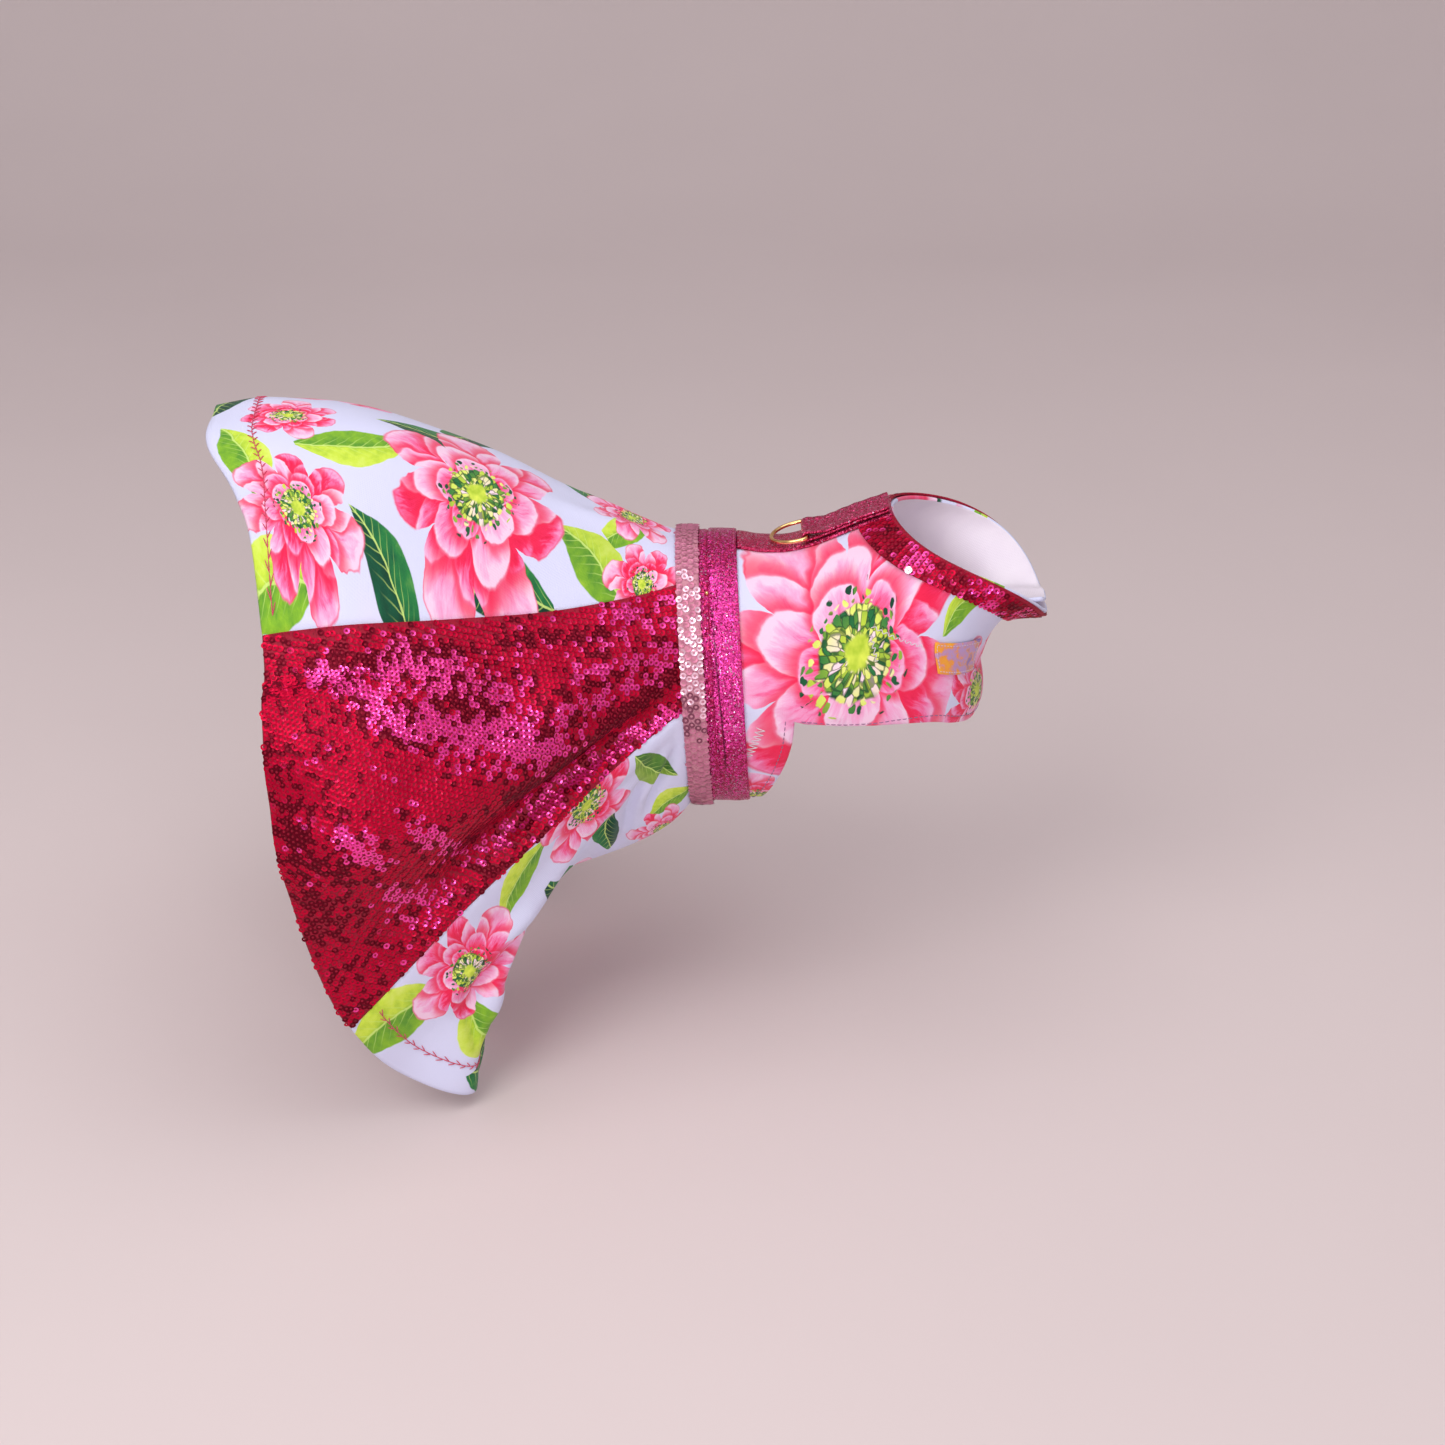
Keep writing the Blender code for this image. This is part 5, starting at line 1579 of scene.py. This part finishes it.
def stray_glints(highlight_foil, gold):
    """A stray sequin on the collar's edge, coloured plain white as a painted highlight, and a gold bead on
    the ribbon.
    """
    at = np.array([5.13]), np.array([62.0])
    spot = on_body(*at, BODICE_WALL + GAP + COLLAR_WALL + 0.0008)
    frames = spot, unit(spot - on_body(*at, 0.0)), np.array([[1.0, 0.0, 0.0]])
    disc = sequins("stray_sequin", frames, 0.0018, 0.0003, highlight_foil, 3, np.ones(1), tilt_deg=2.0)
    add_piece(disc)
    bead = waist_point(np.array([0.0005]), np.array([38.0]), BODICE_WALL + GAP + RIBBON_WALL + 0.0004)[0]
    steps, turns = np.linspace(0, math.pi, 9), np.linspace(0, 2 * math.pi, 16, endpoint=False)
    ball = [
        (math.sin(s) * math.cos(t), math.sin(s) * math.sin(t), math.cos(s))
        for s in steps for t in turns
    ]
    faces = tube_faces(len(steps), len(turns))[:, INSIDE_OUT]
    add_piece(new_mesh("ribbon_bead", in_row(bead + np.array(ball) * 0.0009), faces, [gold]))


# Stage


def add_stage():
    """A sheet of paper that curves up behind the dress."""
    floor_z = -WAIST_HALF_HEIGHT - 0.1700
    made, tree, shader = material("studio_paper", Roughness=0.9, Specular_IOR_Level=0.2)
    tone = noise(tree, object_place(tree), 3.0)
    colour = mix_colour(tree, tone, srgb(0.84, 0.79, 0.79), srgb(0.87, 0.82, 0.82))
    feed(tree, colour, shader.inputs["Base Color"])
    bend = [(1.2 + 0.9 * math.sin(a), 0.9 - 0.9 * math.cos(a)) for a in np.linspace(0, math.pi / 2, 24)]
    profile = [(-12.0, 0.0), *bend, (2.1, 4.0)]
    rows = [(x, y, floor_z + z) for y, z in profile for x in (-12.0, 12.0)]
    new_mesh("studio_sweep", np.array(rows), grid_faces(len(profile), 2), [made])


def add_light(name, azimuth, elevation, distance, size, power, colour=(1.0, 1.0, 1.0)):
    """A square soft light that faces the waist. Azimuth 0 is the camera's side and 90 the neck's."""
    light = bpy.data.lights.new(name, "AREA")
    light.shape = "SQUARE"
    light.size = size
    light.energy = power
    light.color = colour
    a, e = math.radians(azimuth), math.radians(elevation)
    aim = np.array([-0.03, 0.0, -WAIST_HALF_HEIGHT])
    spot = aim + distance * np.array([math.sin(a) * math.cos(e), -math.cos(a) * math.cos(e), math.sin(e)])
    look_at(bpy.data.objects.new(name, light), spot, aim)


def look_at(obj, spot, aim):
    """Adds a light or camera to the scene at the spot, facing the aim."""
    obj.location = Vector(spot)
    obj.rotation_euler = (Vector(aim) - Vector(spot)).to_track_quat("-Z", "Y").to_euler()
    bpy.context.scene.collection.objects.link(obj)


def add_camera():
    camera = bpy.data.objects.new("camera", bpy.data.cameras.new("camera"))
    camera.data.sensor_width = 36.0
    camera.data.lens = 69.2
    camera.data.shift_x = 0.0073
    camera.data.shift_y = -0.0398
    elevation = math.radians(25.0)
    aim = np.array([0.0, 0.0, -WAIST_HALF_HEIGHT])
    look_at(camera, aim + 1.25 * np.array([0.0, -math.cos(elevation), math.sin(elevation)]), aim)
    bpy.context.scene.camera = camera


def add_world():
    """A soft ceiling over darker walls, so that metal has something to mirror."""
    world = bpy.data.worlds.new("studio")
    world.use_nodes = True
    tree = world.node_tree
    background = tree.nodes["Background"]
    height = separate(tree, place_node(tree, "ShaderNodeTexCoord"))[2]
    feed(tree, colour_ramp(tree, height, WORLD_STOPS), background.inputs["Color"])
    background.inputs["Strength"].default_value = 0.68
    bpy.context.scene.world = world


def make_skirt(groups, foil):
    flowers = skirt_motifs(SKIRT_FLOWERS, LOWER_FLOWERS)
    leaves = skirt_motifs(SKIRT_LEAVES, LOWER_LEAVES)
    printed = [
        print_material("skirt_print", flowers, leaves, groups),
        print_material("skirt_print_back", flowers, leaves, groups, 0.6),
    ]
    net = [
        net_material("crimson_net", srgb(0.68, 0.05, 0.20), srgb(0.42, 0.02, 0.11)),
        net_material("crimson_lining", srgb(0.62, 0.08, 0.24), srgb(0.44, 0.03, 0.15)),
    ]
    for node, start, end, *rest in (
        ("skirt_top", -SEAM_TOP, SEAM_TOP, 0.0022),
        ("skirt_lower_right", SEAM_SIDE, SKIRT_END_RIGHT, 0.0022, LOWER_FLAT_RIGHT),
        ("skirt_lower_left", SKIRT_END_LEFT, -SEAM_SIDE, 0.0026, LOWER_FLAT_LEFT),
    ):
        skirt_panel(f"{node}_cloth", node, "print_cotton", start, end, printed, *rest)
    sides = ("right", SEAM_TOP, SEAM_SIDE, 41), ("left", -SEAM_SIDE, -SEAM_TOP, 42)
    for side, start, end, _ in sides:
        node = f"skirt_sequin_{side}"
        skirt_panel(f"{node}_cloth", node, "sequin_mesh", start, end, net, 0.0028)
    for side, start, end, seed in sides:
        skirt_sequins(f"skirt_sequins_{side}", start, end, foil, seed)
    return net


def make_bands(pale_foil):
    glitter = glitter_material(
        "waist_glitter_ribbon", srgb(0.63, 0.04, 0.28), srgb(0.95, 0.26, 0.66), 0.00050, ribbon_shading
    )
    band(
        "waist_ribbon_cloth", "waist_ribbon",
        RIBBON_WALL, RIBBON_FRONT, RIBBON_WIDTH, BODICE_WALL + GAP, ribbon_relief, 28, glitter,
    )
    braid = net_material("pink_braid", srgb(0.84, 0.60, 0.66), srgb(0.66, 0.38, 0.47))
    band(
        "waist_trim_braid", "waist_trim",
        TRIM_WALL, TRIM_FRONT, TRIM_WIDTH, TRIM_RISE, trim_relief, 9, braid,
    )
    trim_sequins(pale_foil)


def dress_the_frame():
    groups = {"blossom": motif_group("blossom", blossom), "leaf": motif_group("leaf", leaf)}
    # Each foil's first colour is a painted shade and its last a painted highlight; the middle one is its own
    # colour
    foil = sequin_material(
        "crimson_foil", srgb(0.20, 0.00, 0.06), srgb(0.78, 0.01, 0.21), srgb(1.0, 0.24, 0.66), 0.60
    )
    pale_foil = sequin_material(
        "pink_foil", srgb(0.36, 0.16, 0.24), srgb(0.80, 0.50, 0.61), srgb(1.0, 0.84, 0.92)
    )
    glitter = glitter_material("glitter_ribbon", srgb(0.66, 0.07, 0.27), srgb(0.92, 0.32, 0.54), 0.00045)
    gold = gold_material()
    white_thread = thread_material("white_thread", srgb(0.90, 0.86, 0.90))
    make_bodice([print_material("bodice_print", BODICE_FLOWERS, BODICE_LEAVES, groups), lining_material()])
    make_bands(pale_foil)
    net = make_skirt(groups, foil)
    edge = spine_half_angle(LAST_STATION) + RIBBON_CLEARANCE_DEG
    make_collar("right", edge, WING_END_RIGHT, net, foil, 51)
    make_collar("left", -edge, -WING_END_RIGHT + LEFT_COLLAR_SHORTER_DEG, net, foil, 52)
    make_spine_ribbon(glitter)
    make_ring_strap(glitter)
    make_leash_ring(gold)
    make_label(label_material(), white_thread)
    hem_stitches(thread_material("red_thread", srgb(0.86, 0.20, 0.38)))
    bodice_stitches(thread_material("mauve_thread", srgb(0.62, 0.42, 0.58)))
    closure_stitches(white_thread)
    band_stitches(thread_material("pink_thread", srgb(0.78, 0.14, 0.42)))
    # Plain white throughout: a painted highlight on the stray sequin
    white = srgb(0.98, 0.96, 0.98)
    stray_glints(sequin_material("painted_highlight_foil", white, white, white), gold)
    hooks = hook_material()
    for node in ("chest_fastener", "belly_fastener"):
        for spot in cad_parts[node].material_slots:
            spot.material = hooks


bpy.context.scene.view_settings.view_transform = "Standard"
dress_the_frame()
add_stage()
add_light("key", -30.0, 42.0, 1.7, 0.9, 12.4, (1.0, 0.97, 0.95))
add_light("front", 12.0, 16.0, 2.0, 0.55, 9.4, (1.0, 0.97, 0.98))
add_light("top", 20.0, 80.0, 1.6, 1.2, 7.0)
add_world()
add_camera()
